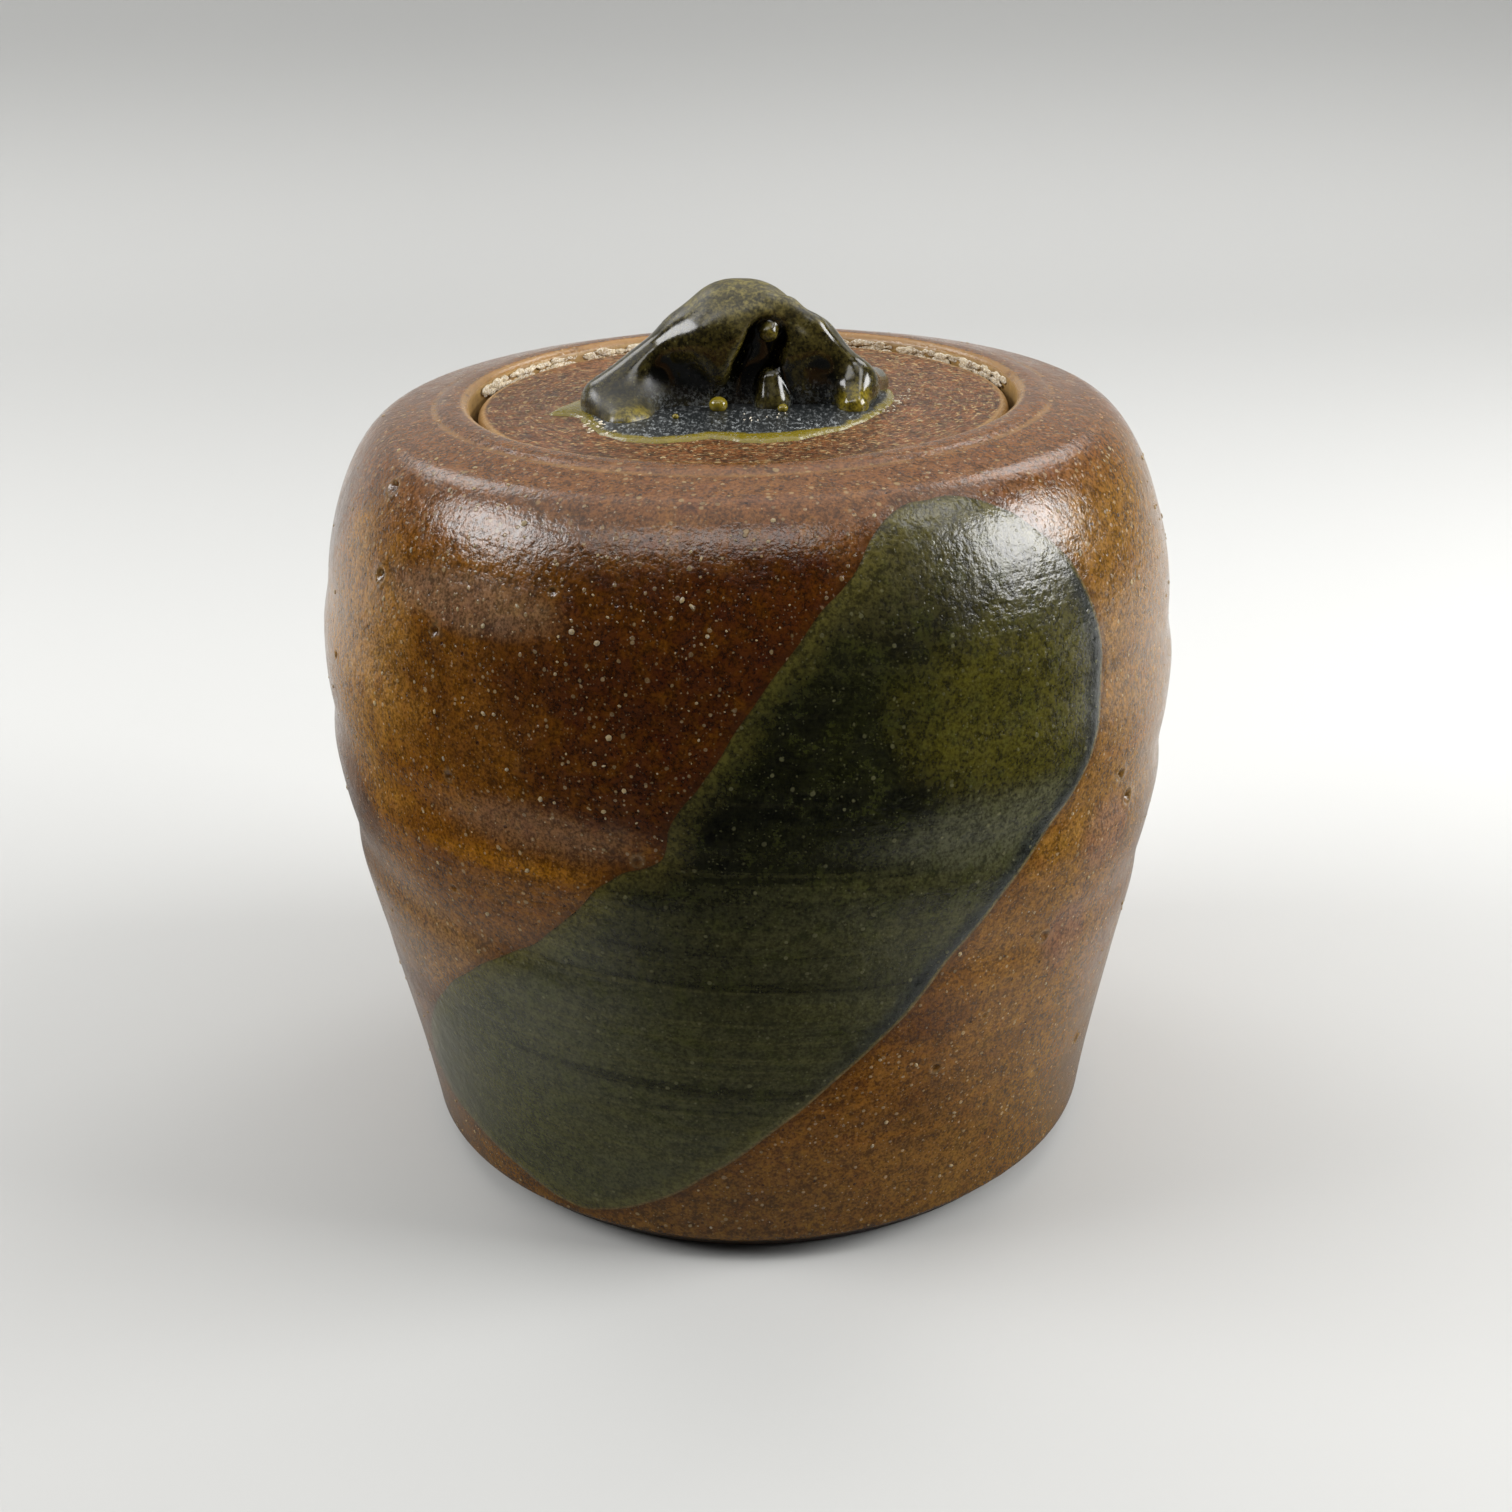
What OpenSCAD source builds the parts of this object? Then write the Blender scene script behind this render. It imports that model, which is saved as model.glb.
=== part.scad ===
// Mizusashi: a wheel-thrown stoneware jar that holds fresh water in the tea room.
// A loose lid drops into a gallery inside the mouth and carries a hand-pinched knob.
// Millimetres. +Z is up, -Y is the front, and the origin is the centre of the foot, on the table.

/* [Jar foot] */
// Radius of the flat foot, at the table
foot_r = 65; // [55:0.5:70]
// Width of the bevel trimmed round the foot
bevel_w = 5; // [2:0.5:8]
// Height of the bevel trimmed round the foot
bevel_h = 5.5; // [3:0.5:10]
// Width of the flat ring that stands on the table
foot_ring_w = 13; // [8:0.5:25]
// Depth of the shallow hollow turned under the foot
foot_hollow = 1.6; // [0.8:0.1:3]
// Width of the slanted side of the hollows under the foot and the lid
hollow_side = 2; // [1:0.1:4]

/* [Jar wall] */
// Radius of the belly at its widest
belly_r = 83.5; // [80:0.5:95]
// Height of the widest ring of the belly
belly_z = 100; // [80:1:110]
// Outward lean of the wall just above the foot, in degrees
wall_lean = 7.5; // [3:0.5:15]
// Thickness of the thrown wall
wall = 7; // [5:0.5:10]
// Thickness of the floor above the hollow under the foot
floor_t = 7.5; // [5:0.5:12]
// Radius of the sweep where the floor turns up into the wall
floor_sweep = 14; // [8:1:20]

/* [Throwing rings] */
// Vertical step from one finger ring to the next
ring_pitch = 22.5; // [15:0.5:30]
// Height of the middle ring's crest
ring_z = 80; // [60:1:95]
// How far a crest stands out from the mean wall
ring_depth = 0.55; // [0:0.05:1]
// Height of the wall above the foot that was scraped smooth of rings
ring_start = 32; // [20:1:50]
// Height over which the rings fade in above the scraped wall, and fade out above the belly
ring_fade = 25; // [10:1:40]

/* [Shoulder and rim] */
// Height of the lip, the top of the jar
rim_z = 152; // [140:1:165]
// Radius where the shoulder turns into the sloping rim
rim_r = 67; // [64:0.5:72]
// Fall of the rim from the lip out to the shoulder
rim_drop = 2.4; // [1.5:0.1:4]
// How high the belly's curve carries up into the shoulder
shoulder_rise = 26; // [18:1:30]
// How far the rim's curve carries out into the shoulder
shoulder_reach = 9; // [5:0.5:11]
// Width of the raised lip round the mouth
lip_w = 6; // [3:0.5:7]
// Depth of the finger groove outside the lip
lip_groove = 0.6; // [0.2:0.1:1]
// Radius of the lip's rounded inner edge
lip_round = 1.8; // [1:0.1:2.5]

/* [Mouth and lid seat] */
// Radius of the mouth
mouth_r = 52.2; // [48:0.1:56]
// Width of the ledge that the lid rests on
ledge_w = 6; // [5:0.5:9]
// Thickness of the ledge
ledge_t = 6; // [4:0.5:8]
// Radius of the ledge's softened inner edge
ledge_round = 1.5; // [0.8:0.1:2.5]
// Rise of the undercut behind the ledge
ledge_undercut = 2; // [0:0.5:4]

/* [Lid] */
// Play between the lid's edge and the mouth
lid_gap = 1.4; // [0.5:0.1:3.5]
// Thickness of the lid
lid_t = 8; // [6:0.5:10]
// How far the lid's top lies below the lip
lid_sink = 2.2; // [0:0.1:4]
// Radius of the lid's rounded top edge
lid_round = 1.6; // [0.8:0.1:2.5]
// Radius of the hollow turned under the lid
lid_hollow_r = 36; // [20:1:40]
// Depth of the hollow turned under the lid
lid_hollow = 2; // [1:0.1:3]

/* [Knob] */
// Width of the arched knob from toe to toe
knob_w = 57; // [40:1:66]
// Height of the knob above the lid
knob_h = 23; // [15:0.5:32]
// Thickness of the arch's crest, front to back
crest_t = 22; // [14:0.5:26]
// How far the toes spread to the front
toe_reach = 21; // [14:0.5:24]
// How far the foot spreads to the back
heel_reach = 18; // [14:0.5:24]
// Depth of the hollow that the thumb pressed under the arch
thumb_depth = 13; // [0:0.5:16]
// Depth of the print that the finger pressed in behind
finger_depth = 4; // [0:0.5:8]
// Lean of the knob's peak to the right
peak_x = 0.8; // [-4:0.1:4]
// Place of the knob to the right of the lid's centre
knob_x = -1.3; // [-5:0.1:5]
// Place of the knob behind the lid's centre
knob_y = -3; // [-6:0.1:6]
// Power by which the flanks fall away from the peak
flank_power = 0.63; // [0.4:0.01:1]
// Power by which the crest rounds over to front and back
crest_power = 0.35; // [0.2:0.01:0.6]
// Power by which the toes flare out at the foot
toe_power = 3; // [1.5:0.1:5]
// Spread of the thumb and finger prints round the knob, in degrees
print_wide = 32; // [15:1:50]
// Power by which the prints fade towards the peak
print_power = 1.2; // [0.6:0.1:3]

/* [Glaze] */
// Thickness of the green glaze poured down the wall
pour_t = 0.7; // [0.3:0.05:1.5]
// Height of the pour's lowest point above the table
pour_low = 7; // [6:0.5:30]
// Drop from the rim's outer edge to the pour's highest point
pour_gap = 1.6; // [0.5:0.1:20]
// Thickness of the glaze pool on the lid
pool_t = 0.8; // [0.4:0.05:1.5]
// Width of the glaze pool round the sides and back of the knob
pool_w = 1.2; // [0.6:0.1:3]
// How far the pool ran out in front of the toes
pool_run = 8; // [3:0.5:14]
// Length of the tongue of glaze that ran off to the left
pool_tongue = 5; // [0:0.5:9]

/* [Kiln wad scars] */
// How far the scars stand off the mouth's wall
scar_t = 0.6; // [0.3:0.1:1.2]
// Height of a scar
scar_h = 3.2; // [1.5:0.1:4]
// How much lower one scar sits than the next
scar_step = 0.4; // [0:0.1:0.8]

/* [Hidden] */
$fn = 96;

CLAY = [0.44, 0.26, 0.14];
LID_CLAY = [0.40, 0.25, 0.17];
GREEN_GLAZE = [0.14, 0.16, 0.10];
KNOB_GLAZE = [0.12, 0.13, 0.07];
OLIVE_GLAZE = [0.46, 0.40, 0.08];
WAD = [0.85, 0.78, 0.62];

// Facets along each stretch of a profile
WALL_STEPS = 34;
SHOULDER_STEPS = 10;
INNER_STEPS = 10;
ROUND_STEPS = 4;

corner_r = foot_r + bevel_w;
rim_edge_z = rim_z - rim_drop;
lip_r = mouth_r + lip_w;
ledge_r = mouth_r - ledge_w;
lid_r = mouth_r - lid_gap;
lid_top = rim_z - lid_sink;
ledge_z = lid_top - lid_t;
throat_z = ledge_z - ledge_t;
floor_z = foot_hollow + floor_t;
pour_top = rim_edge_z - pour_gap;

// Outline of the poured glaze, clockwise from the shoulder at the upper right: compass angle from
// the front in degrees, + to the right, and percent of the way from the pour's lowest point to its top
POUR = [
    [19, 99], [27, 100], [36, 98], [45, 89], [48, 77], [46, 67], [39, 57],
    [29, 47], [19, 35], [6, 22], [-8, 10], [-20, 3], [-32, 0], [-46, 4],
    [-62, 10], [-59, 21], [-46, 33], [-33, 43], [-23, 50], [-16, 58], [-11, 62],
    [-5, 72], [2, 82], [9, 91],
];
POUR_STEPS = 3;

// Kiln wad scars on the back of the mouth: compass angle of the middle, and width, in degrees
SCARS = [
    [116, 7], [126, 5], [134, 8], [145, 6], [153, 5], [162, 7], [205, 6], [214, 9],
    [226, 7], [237, 5], [248, 8],
];

// Smooth step from 0 at a to 1 at b
function ease(x, a, b) = let(t = min(1, max(0, (x - a) / (b - a)))) t * t * (3 - 2 * t);

// Point at t on a cubic Bezier curve of four points
function bezier(p, t) =
    p[0] * pow(1 - t, 3) + 3 * p[1] * t * pow(1 - t, 2) + 3 * p[2] * t * t * (1 - t) + p[3] * pow(t, 3);

// Points along a cubic Bezier curve, without its first point
function curve(p, steps) = [for (i = [1:steps]) bezier(p, i / steps)];

// Points of a circular arc, from angle a0 to a1
function arc(centre, r, a0, a1, steps) =
    [for (i = [0:steps]) let(a = a0 + (a1 - a0) * i / steps) centre + r * [cos(a), sin(a)]];

function reversed(pts) = [for (i = [len(pts) - 1:-1:0]) pts[i]];

// Closed Catmull-Rom curve through a ring of points
function closed_spline(pts, steps) = let(n = len(pts)) [
    for (i = [0:n - 1], k = [0:steps - 1])
    let(t = k / steps, a = pts[(i + n - 1) % n], b = pts[i], c = pts[(i + 1) % n], d = pts[(i + 2) % n])
    0.5 * (2 * b + (c - a) * t + (2 * a - 5 * b + 4 * c - d) * t * t + (3 * b - a - 3 * c + d) * pow(t, 3)),
];

// A profile moved outwards along its own normals
function thickened(pts, d) = let(n = len(pts)) [
    for (i = [0:n - 1])
    let(step = pts[min(n - 1, i + 1)] - pts[max(0, i - 1)])
    pts[i] + d * [step[1], -step[0]] / norm(step),
];

// Swell of the throwing rings at height z
function ring(z) =
    ring_depth * cos(360 * (z - ring_z) / ring_pitch)
    * ease(z, ring_start, ring_start + ring_fade) * (1 - ease(z, belly_z, belly_z + ring_fade));

function ringed(pts) = [for (p = pts) p + [ring(p[1]), 0]];

// Outside of the jar, from the foot's corner up to the lip groove
wall_third = (belly_z - bevel_h) / 3;
wall_curve = [
    [corner_r, bevel_h],
    [corner_r + wall_third * tan(wall_lean), bevel_h + wall_third],
    [belly_r, belly_z - wall_third],
    [belly_r, belly_z],
];
shoulder_curve = [
    [belly_r, belly_z],
    [belly_r, belly_z + shoulder_rise],
    [rim_r + shoulder_reach, rim_edge_z - shoulder_reach * rim_drop / (rim_r - lip_r)],
    [rim_r, rim_edge_z],
];
outside = concat(
    [wall_curve[0]],
    ringed(curve(wall_curve, WALL_STEPS)),
    ringed(curve(shoulder_curve, SHOULDER_STEPS))
);

// Rounded lip with its finger groove, from the groove in to the mouth's wall
lip = concat(
    [[lip_r, rim_z - lip_groove], [lip_r - lip_groove * 2, rim_z - lip_groove / 4]],
    arc([mouth_r + lip_round, rim_z - lip_round], lip_round, 90, 180, ROUND_STEPS)
);

// Ledge of the gallery, from the mouth's wall to the throat below it
ledge = concat(
    [[mouth_r, ledge_z]],
    arc([ledge_r + ledge_round, ledge_z - ledge_round], ledge_round, 90, 180, ROUND_STEPS),
    [[ledge_r, throat_z]]
);

// Inside of the jar, from the throat down to the middle of the floor
inner_belly_r = belly_r - wall;
inner_foot_r = corner_r - wall;
inner_shoulder_curve = [
    [ledge_r, throat_z],
    [rim_r - ledge_undercut, throat_z + ledge_undercut],
    [inner_belly_r, belly_z + shoulder_rise],
    [inner_belly_r, belly_z],
];
inner_third = (belly_z - floor_z - floor_sweep) / 3;
inner_wall_curve = [
    [inner_belly_r, belly_z],
    [inner_belly_r, belly_z - inner_third],
    [inner_foot_r + inner_third * tan(wall_lean), floor_z + floor_sweep + inner_third],
    [inner_foot_r, floor_z + floor_sweep],
];
inside = concat(
    curve(inner_shoulder_curve, INNER_STEPS),
    curve(inner_wall_curve, INNER_STEPS),
    arc([inner_foot_r - floor_sweep, floor_z + floor_sweep], floor_sweep, 0, -90, ROUND_STEPS * 2),
    [[0, floor_z]]
);

// Underside, from the axis out to the edge of the flat foot
underside = [
    [0, foot_hollow],
    [foot_r - foot_ring_w - hollow_side, foot_hollow],
    [foot_r - foot_ring_w, 0],
    [foot_r, 0],
];

// Radius of the jar's outside at height z
outside_by_z = [for (p = outside) [p[1], p[0]]];
function outside_r(z) = lookup(z, outside_by_z);

module jar_body() {
    color(CLAY)
    rotate_extrude()
    polygon(concat(underside, outside, lip, ledge, inside));
}

// Skin of glaze on the wall, cut to the outline of the pour as seen from the front
module green_glaze_pour() {
    pour_outline = [
        for (p = closed_spline(POUR, POUR_STEPS))
        let(z = pour_low + (pour_top - pour_low) * p[1] / 100)
        [outside_r(z) * sin(p[0]), z],
    ];
    color(GREEN_GLAZE)
    intersection() {
        rotate_extrude() polygon(concat(thickened(outside, pour_t), reversed(outside)));
        rotate([90, 0, 0]) linear_extrude(belly_r * 2) polygon(pour_outline);
    }
}

// Crumbs of kiln wad left where the lid was fired in place
module kiln_wad_scars() {
    color(WAD)
    for (i = [0:len(SCARS) - 1])
    let(drop = lip_round + scar_step * (i % 3))
    rotate([0, 0, SCARS[i][0] - 90 - SCARS[i][1] / 2])
    rotate_extrude(angle = SCARS[i][1])
    translate([mouth_r - scar_t, rim_z - drop - scar_h])
    square([scar_t, scar_h]);
}

module lid() {
    color(LID_CLAY)
    rotate_extrude()
    polygon(concat(
        [[0, ledge_z + lid_hollow], [lid_hollow_r - hollow_side, ledge_z + lid_hollow], [lid_hollow_r, ledge_z]],
        [[lid_r - lid_round, ledge_z], [lid_r, ledge_z + lid_round]],
        arc([lid_r - lid_round, lid_top - lid_round], lid_round, 0, 90, ROUND_STEPS),
        [[0, lid_top]]
    ));
}

KNOB_SIDES = 64;
KNOB_LEVELS = 22;
// Upright band at the knob's foot, as deep as the pool of glaze round it
knob_foot_h = pool_t;

// Half width of the knob at share v of its height, and its reach to one side of the crest
function knob_half_w(v) = knob_w / 2 * pow(1 - v, flank_power);
function knob_reach(v, reach) =
    crest_t / 2 * pow(1 - v, crest_power) + (reach - crest_t / 2) * pow(1 - v, toe_power);

// Press of a print centred on one angle
function print_press(a, centre, depth, v) =
    depth * exp(-pow((a - centre) / print_wide, 2)) * pow(1 - v, print_power);

// Point of the knob's skin at angle a from +X and share v of the height
function knob_point(a, v) =
    let(
        front = sin(a) < 0,
        x = knob_half_w(v) * cos(a) + peak_x * ease(v, 0, 1),
        y = knob_reach(v, front ? toe_reach : heel_reach) * sin(a),
        press = print_press(a, 270, thumb_depth, v) - print_press(a, 90, finger_depth, v)
    )
    [knob_x + x, knob_y + y + press];

// Share of the height at each level, closer together towards the peak
function level_share(k) = 1 - pow(1 - k / KNOB_LEVELS, 1.6);

module lid_knob() {
    angles = [for (i = [0:KNOB_SIDES - 1]) 360 * i / KNOB_SIDES];
    rise = knob_h - knob_foot_h;
    foot = [for (a = angles) let(p = knob_point(a, 0)) [p[0], p[1], lid_top]];
    skin = [
        for (k = [0:KNOB_LEVELS - 1], a = angles)
        let(v = level_share(k), p = knob_point(a, v))
        [p[0], p[1], lid_top + knob_foot_h + rise * v],
    ];
    peak = [[knob_x + peak_x, knob_y, lid_top + knob_h]];
    points = concat(foot, skin, peak);
    n = KNOB_SIDES;
    sides = [
        for (k = [0:KNOB_LEVELS - 1], i = [0:n - 1])
        let(j = (i + 1) % n, a = k * n + i, b = k * n + j)
        each [[a, a + n, b + n], [a, b + n, b]],
    ];
    cap = [for (i = [0:n - 1]) [KNOB_LEVELS * n + i, len(points) - 1, KNOB_LEVELS * n + (i + 1) % n]];
    color(KNOB_GLAZE)
    polyhedron(points, concat([[for (i = [0:n - 1]) i]], sides, cap));
}

// Compass of the glaze tongue round the knob, from +X, and its spread, in degrees
TONGUE_AT = 187;
TONGUE_WIDE = 9;

// Edge of the pool at angle a from +X: close round the back, run out in front, with one tongue
function pool_edge(a) =
    let(
        reach = sin(a) < 0 ? toe_reach + pool_run : heel_reach + pool_w,
        tongue = pool_tongue * exp(-pow((a - TONGUE_AT) / TONGUE_WIDE, 2))
    )
    [knob_x + (knob_w / 2 + pool_w + tongue) * cos(a), knob_y + reach * sin(a)];

// Glaze that ran off the knob, filled the thumb's hollow and set in a pool on the lid
module knob_glaze_pool() {
    angles = [for (i = [0:KNOB_SIDES - 1]) 360 * i / KNOB_SIDES];
    color(OLIVE_GLAZE)
    translate([0, 0, lid_top])
    linear_extrude(pool_t)
    difference() {
        polygon([for (a = angles) pool_edge(a)]);
        polygon([for (a = angles) knob_point(a, 0)]);
    }
}

jar_body();
green_glaze_pour();
kiln_wad_scars();
lid();
lid_knob();
knob_glaze_pool();
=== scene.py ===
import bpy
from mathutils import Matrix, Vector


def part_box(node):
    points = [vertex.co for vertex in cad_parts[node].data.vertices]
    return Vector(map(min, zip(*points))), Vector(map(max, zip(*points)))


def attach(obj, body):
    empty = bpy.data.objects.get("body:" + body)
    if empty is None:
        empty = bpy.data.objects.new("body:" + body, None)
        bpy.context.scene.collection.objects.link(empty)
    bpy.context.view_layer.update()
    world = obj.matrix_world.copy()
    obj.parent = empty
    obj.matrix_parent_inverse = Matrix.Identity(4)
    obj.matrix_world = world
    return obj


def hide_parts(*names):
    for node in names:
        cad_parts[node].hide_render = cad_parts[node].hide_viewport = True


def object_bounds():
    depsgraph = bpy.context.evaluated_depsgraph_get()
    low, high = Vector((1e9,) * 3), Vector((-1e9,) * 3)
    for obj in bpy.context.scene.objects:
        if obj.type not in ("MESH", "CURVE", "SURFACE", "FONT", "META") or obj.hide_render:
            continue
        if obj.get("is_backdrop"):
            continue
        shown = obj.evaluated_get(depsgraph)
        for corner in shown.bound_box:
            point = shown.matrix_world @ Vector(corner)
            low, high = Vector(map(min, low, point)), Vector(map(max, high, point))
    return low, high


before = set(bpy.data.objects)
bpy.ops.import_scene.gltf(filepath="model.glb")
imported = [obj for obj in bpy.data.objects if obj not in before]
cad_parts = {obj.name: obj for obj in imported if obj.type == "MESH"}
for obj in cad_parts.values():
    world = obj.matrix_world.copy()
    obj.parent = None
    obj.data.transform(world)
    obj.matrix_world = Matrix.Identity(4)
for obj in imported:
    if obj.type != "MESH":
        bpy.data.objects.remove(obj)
CAD_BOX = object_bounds()

import inspect
import math

import bmesh
import bpy
import numpy as np
from bpy.props import FloatProperty, FloatVectorProperty, IntProperty, PointerProperty
from bpy.types import Operator, Panel, PropertyGroup
from mathutils import Matrix, Vector
from mathutils.bvhtree import BVHTree
from mathutils.geometry import delaunay_2d_cdt

bl_info = {
    "name": "Mizusashi Water Jar",
    "version": (1, 0, 0),
    "blender": (4, 5, 0),
    "location": "View3D > Sidebar > Mizusashi",
    "description": "Dresses a wheel-thrown tea-room water jar: clay, glazes, lid and pinched knob",
    "category": "Object",
}

MM = 0.001
JAR_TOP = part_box("jar_body")[1].z
LID_LOW, LID_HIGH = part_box("lid")
LID_TOP = LID_HIGH.z
# How far a skin of glaze stands off the clay at its edge, and how far its back lies in the clay
SKIN_LIFT, SKIN_SINK = 0.02 * MM, 0.2 * MM
ON_EDGE = 1e-7

# Outline of the glaze sash: compass degrees from the front (+ to the right) and height in mm,
# clockwise from the shoulder at the upper right
POUR_OUTLINE = [
    (18, 146), (26, 148), (35, 145.5), (43, 136.5), (47.5, 124), (48, 111), (45, 98), (40, 89.5),
    (33, 80), (27, 70), (19, 56), (9, 42), (-3, 27), (-14, 15.5), (-24, 9), (-32, 7), (-42, 11),
    (-54, 15.5), (-63, 21), (-62, 31), (-52, 47), (-40, 61), (-29, 71), (-22, 80), (-17, 87.5), (-11, 92),
    (-9, 100), (-4, 110), (1, 121), (7, 131.5), (13, 139),
]
# Sheltered pits in the wall: compass degrees, height in mm, radius in mm
PITS = [
    (-57.5, 145, 1.7), (-53.5, 131.6, 1.5), (-41, 126, 1.1), (-13.6, 91.5, 1.1), (57, 84.6, 1.6),
    (53.6, 91, 1.4), (41, 64, 1.3), (25, 42, 1.1), (-38.6, 101, 1.0), (-40.6, 78, 0.8), (60, 27.5, 1.3),
    (32, 51, 0.7), (-66, 112, 1.0), (-24, 136, 0.8), (110, 70, 1.4), (150, 112, 1.5), (-140, 96, 1.5),
    (-118, 58, 1.3), (172, 44, 1.4), (-160, 132, 1.2),
]
# Where sand lies thick on the wall: compass degrees, height in mm, reach in mm
SAND_DRIFTS = [(-12, 118, 42), (-30, 146, 40), (165, 110, 55), (70, 140, 30)]
# Flashes of the fire on the wall, and two bands of painted sheen (second and third rows): compass degrees,
# height and size in mm, raggedness, strength, colour
FLASHES = [
    (-58, 116, (28, 26, 26), 1.7, 0.75, (0.275, 0.130, 0.020)),
    # painted sheen: a grey-plum band below the shoulder
    (-38, 132, (25, 22, 5.5), 0.9, 0.45, (0.20, 0.125, 0.080)),
    # painted sheen: a mauve band on the left wall
    (-28, 95, (28, 22, 6.0), 0.9, 0.45, (0.15, 0.082, 0.045)),
    (-33, 87, (22, 20, 2.2), 0.9, 0.60, (0.26, 0.100, 0.003)),
    (-52, 62, (30, 30, 18), 0.9, 0.65, (0.215, 0.110, 0.034)),
    (60, 58, (20, 22, 24), 1.0, 0.50, (0.19, 0.105, 0.062)),
    (52, 81, (10, 10, 8), 0.8, 0.40, (0.17, 0.080, 0.060)),
    (46, 62, (8, 8, 9), 0.8, 0.40, (0.16, 0.074, 0.056)),
]
# Rolls of clay that make the knob, in mm from the lid's centre and top: two ends and their radii
KNOB_ROLLS = [
    ((-1.2, -2.8, 14.3), (0.8, -2.8, 14.3), 8.7, 8.6),
    ((0, -1.0, 13.2), (0, 5.0, 10.2), 7.2, 6.6),
    ((-3.5, -3.8, 14.6), (-9.5, -3.6, 11.2), 6.6, 5.9),
    ((-9.5, -3.6, 11.2), (-16.5, -5.2, 7.0), 5.9, 4.6),
    ((-16.5, -5.2, 7.0), (-26.0, -7.5, 2.4), 4.6, 3.8),
    ((-26.0, -7.5, 1.4), (-22.5, -16.8, -0.4), 3.7, 3.1),
    ((-20.5, -6.5, 3.4), (-20.0, -14.0, -0.8), 4.4, 3.4),
    ((4.0, -4.0, 14.8), (12.5, -4.2, 10.5), 6.4, 5.2),
    ((12.5, -4.2, 10.5), (20.4, -6.8, 5.0), 5.2, 3.5),
    ((20.4, -7.0, 4.0), (20.6, -12.6, 1.2), 3.4, 2.8),
    ((22.0, -6.0, 3.0), (25.2, 4.0, 1.5), 3.4, 3.2),
    ((-17.0, 0.0, 1.4), (15.0, 0.0, 1.4), 8.0, 8.0),
    ((-7.0, 0.5, 8.0), (7.0, 0.5, 8.0), 8.6, 8.4),
    ((-6.2, -7.2, 13.0), (-4.4, -8.4, 8.6), 4.2, 3.5),
    ((11.5, -5.4, 9.0), (12.2, -6.0, 5.5), 4.2, 4.0),
]
# Presses into the knob: the slot under the crest, a pocket on each side of it and the print behind
KNOB_PRESSES = [
    ((4.6, -9.2, 13.6), (2.4, -9.0, 8.4), 3.5, 2.7),
    ((2.4, -9.0, 8.4), (-1.2, -9.8, 2.2), 2.7, 2.3),
    ((-14.4, -12.2, 8.4), (-9.4, -11.8, 4.4), 3.4, 3.1),
    ((14.6, -12.2, 7.2), (14.0, -12.4, 5.0), 2.6, 2.4),
    ((0, 19.0, 9.0), (0, 19.0, 14.0), 9.0, 9.0),
]
# Lumps that hang in the slot and stand at its foot, and the crease along the right flank
KNOB_LUMPS = [
    ((5.0, -5.5, 15.6), (5.0, -8.6, 14.4), 1.7, 1.75),
    ((5.6, -8.8, 1.6), (5.4, -7.8, 5.4), 3.5, 2.6),
    ((4.4, -7.5, 20.5), (8.7, -6.3, 18.4), 1.3, 1.3),
    ((8.7, -6.3, 18.4), (13.5, -7.0, 15.2), 1.3, 1.3),
    ((13.5, -7.0, 15.2), (19.8, -8.2, 8.9), 1.3, 1.2),
]
# Olive spots on the knob: place and size in mm, strength
KNOB_SPOTS = [
    ((-19.0, -18.5, 0.5), (7, 5, 3.6), 0.85), ((21.5, -14.5, 2.0), (5, 5, 5.5), 0.85),
    ((5.0, -9.8, 14.4), (2.4, 2.4, 2.4), 0.3), ((0.0, -10.6, 10.6), (1.3, 3, 3.6), 0.35),
]
# Clear glaze at the knob's foot, free of frost: place and size in mm
KNOB_CLEAR = [
    ((4.9, -11.0, 4.0), (5, 6, 7)), ((-23.0, -14.0, 1.5), (9, 9, 7)), ((21.0, -12.0, 2.0), (6, 8, 7)),
]
# Broken wad clay on the back of the mouth's wall: compass degrees from and to, and its rows' drop in mm
SCAR_SPANS = [(100, 121), (124, 139), (143, 160), (200, 218), (222, 233), (236, 258)]
SCAR_DROPS = (1.8, 3.0)
# Edge of the glaze pool on the lid, in mm from the lid's centre, clockwise from the left tongue
POOL_OUTLINE = [
    (-36.5, -8.5), (-32, 1), (-29, 8), (-16, 13), (0, 13.5), (16, 13), (27, 8), (29, -2), (26, -13),
    (20, -23), (13.5, -29), (7, -33), (0, -32.5), (-5, -29.5), (-10.5, -31), (-17, -31.5), (-23.5, -28),
    (-28, -20), (-31, -11.5),
]
# Drops of glaze on the pool: place on the lid and radius, in mm
BEADS = [(-4.6, -11.5, 1.75), (-6.4, -6.5, 1.2), (7.4, -13.5, 0.95), (-12.5, -17, 0.6)]
# Dusty crumbs of clay beside the toes: lines on the lid, in mm
CRUMB_LINES = [
    [(-29, -16), (-27, -22), (-24, -27)],
    [(26, -14), (29.5, -9), (31, -4)],
    [(-2, -18), (3, -20), (7, -19)],
]
# Depths in mm at which the mesh of a glaze gets finer towards its edge
POUR_STEPS = (0.35, 0.8, 1.5, 2.4)
POOL_STEPS = (0.25, 0.6, 1.1, 1.8)
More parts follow.
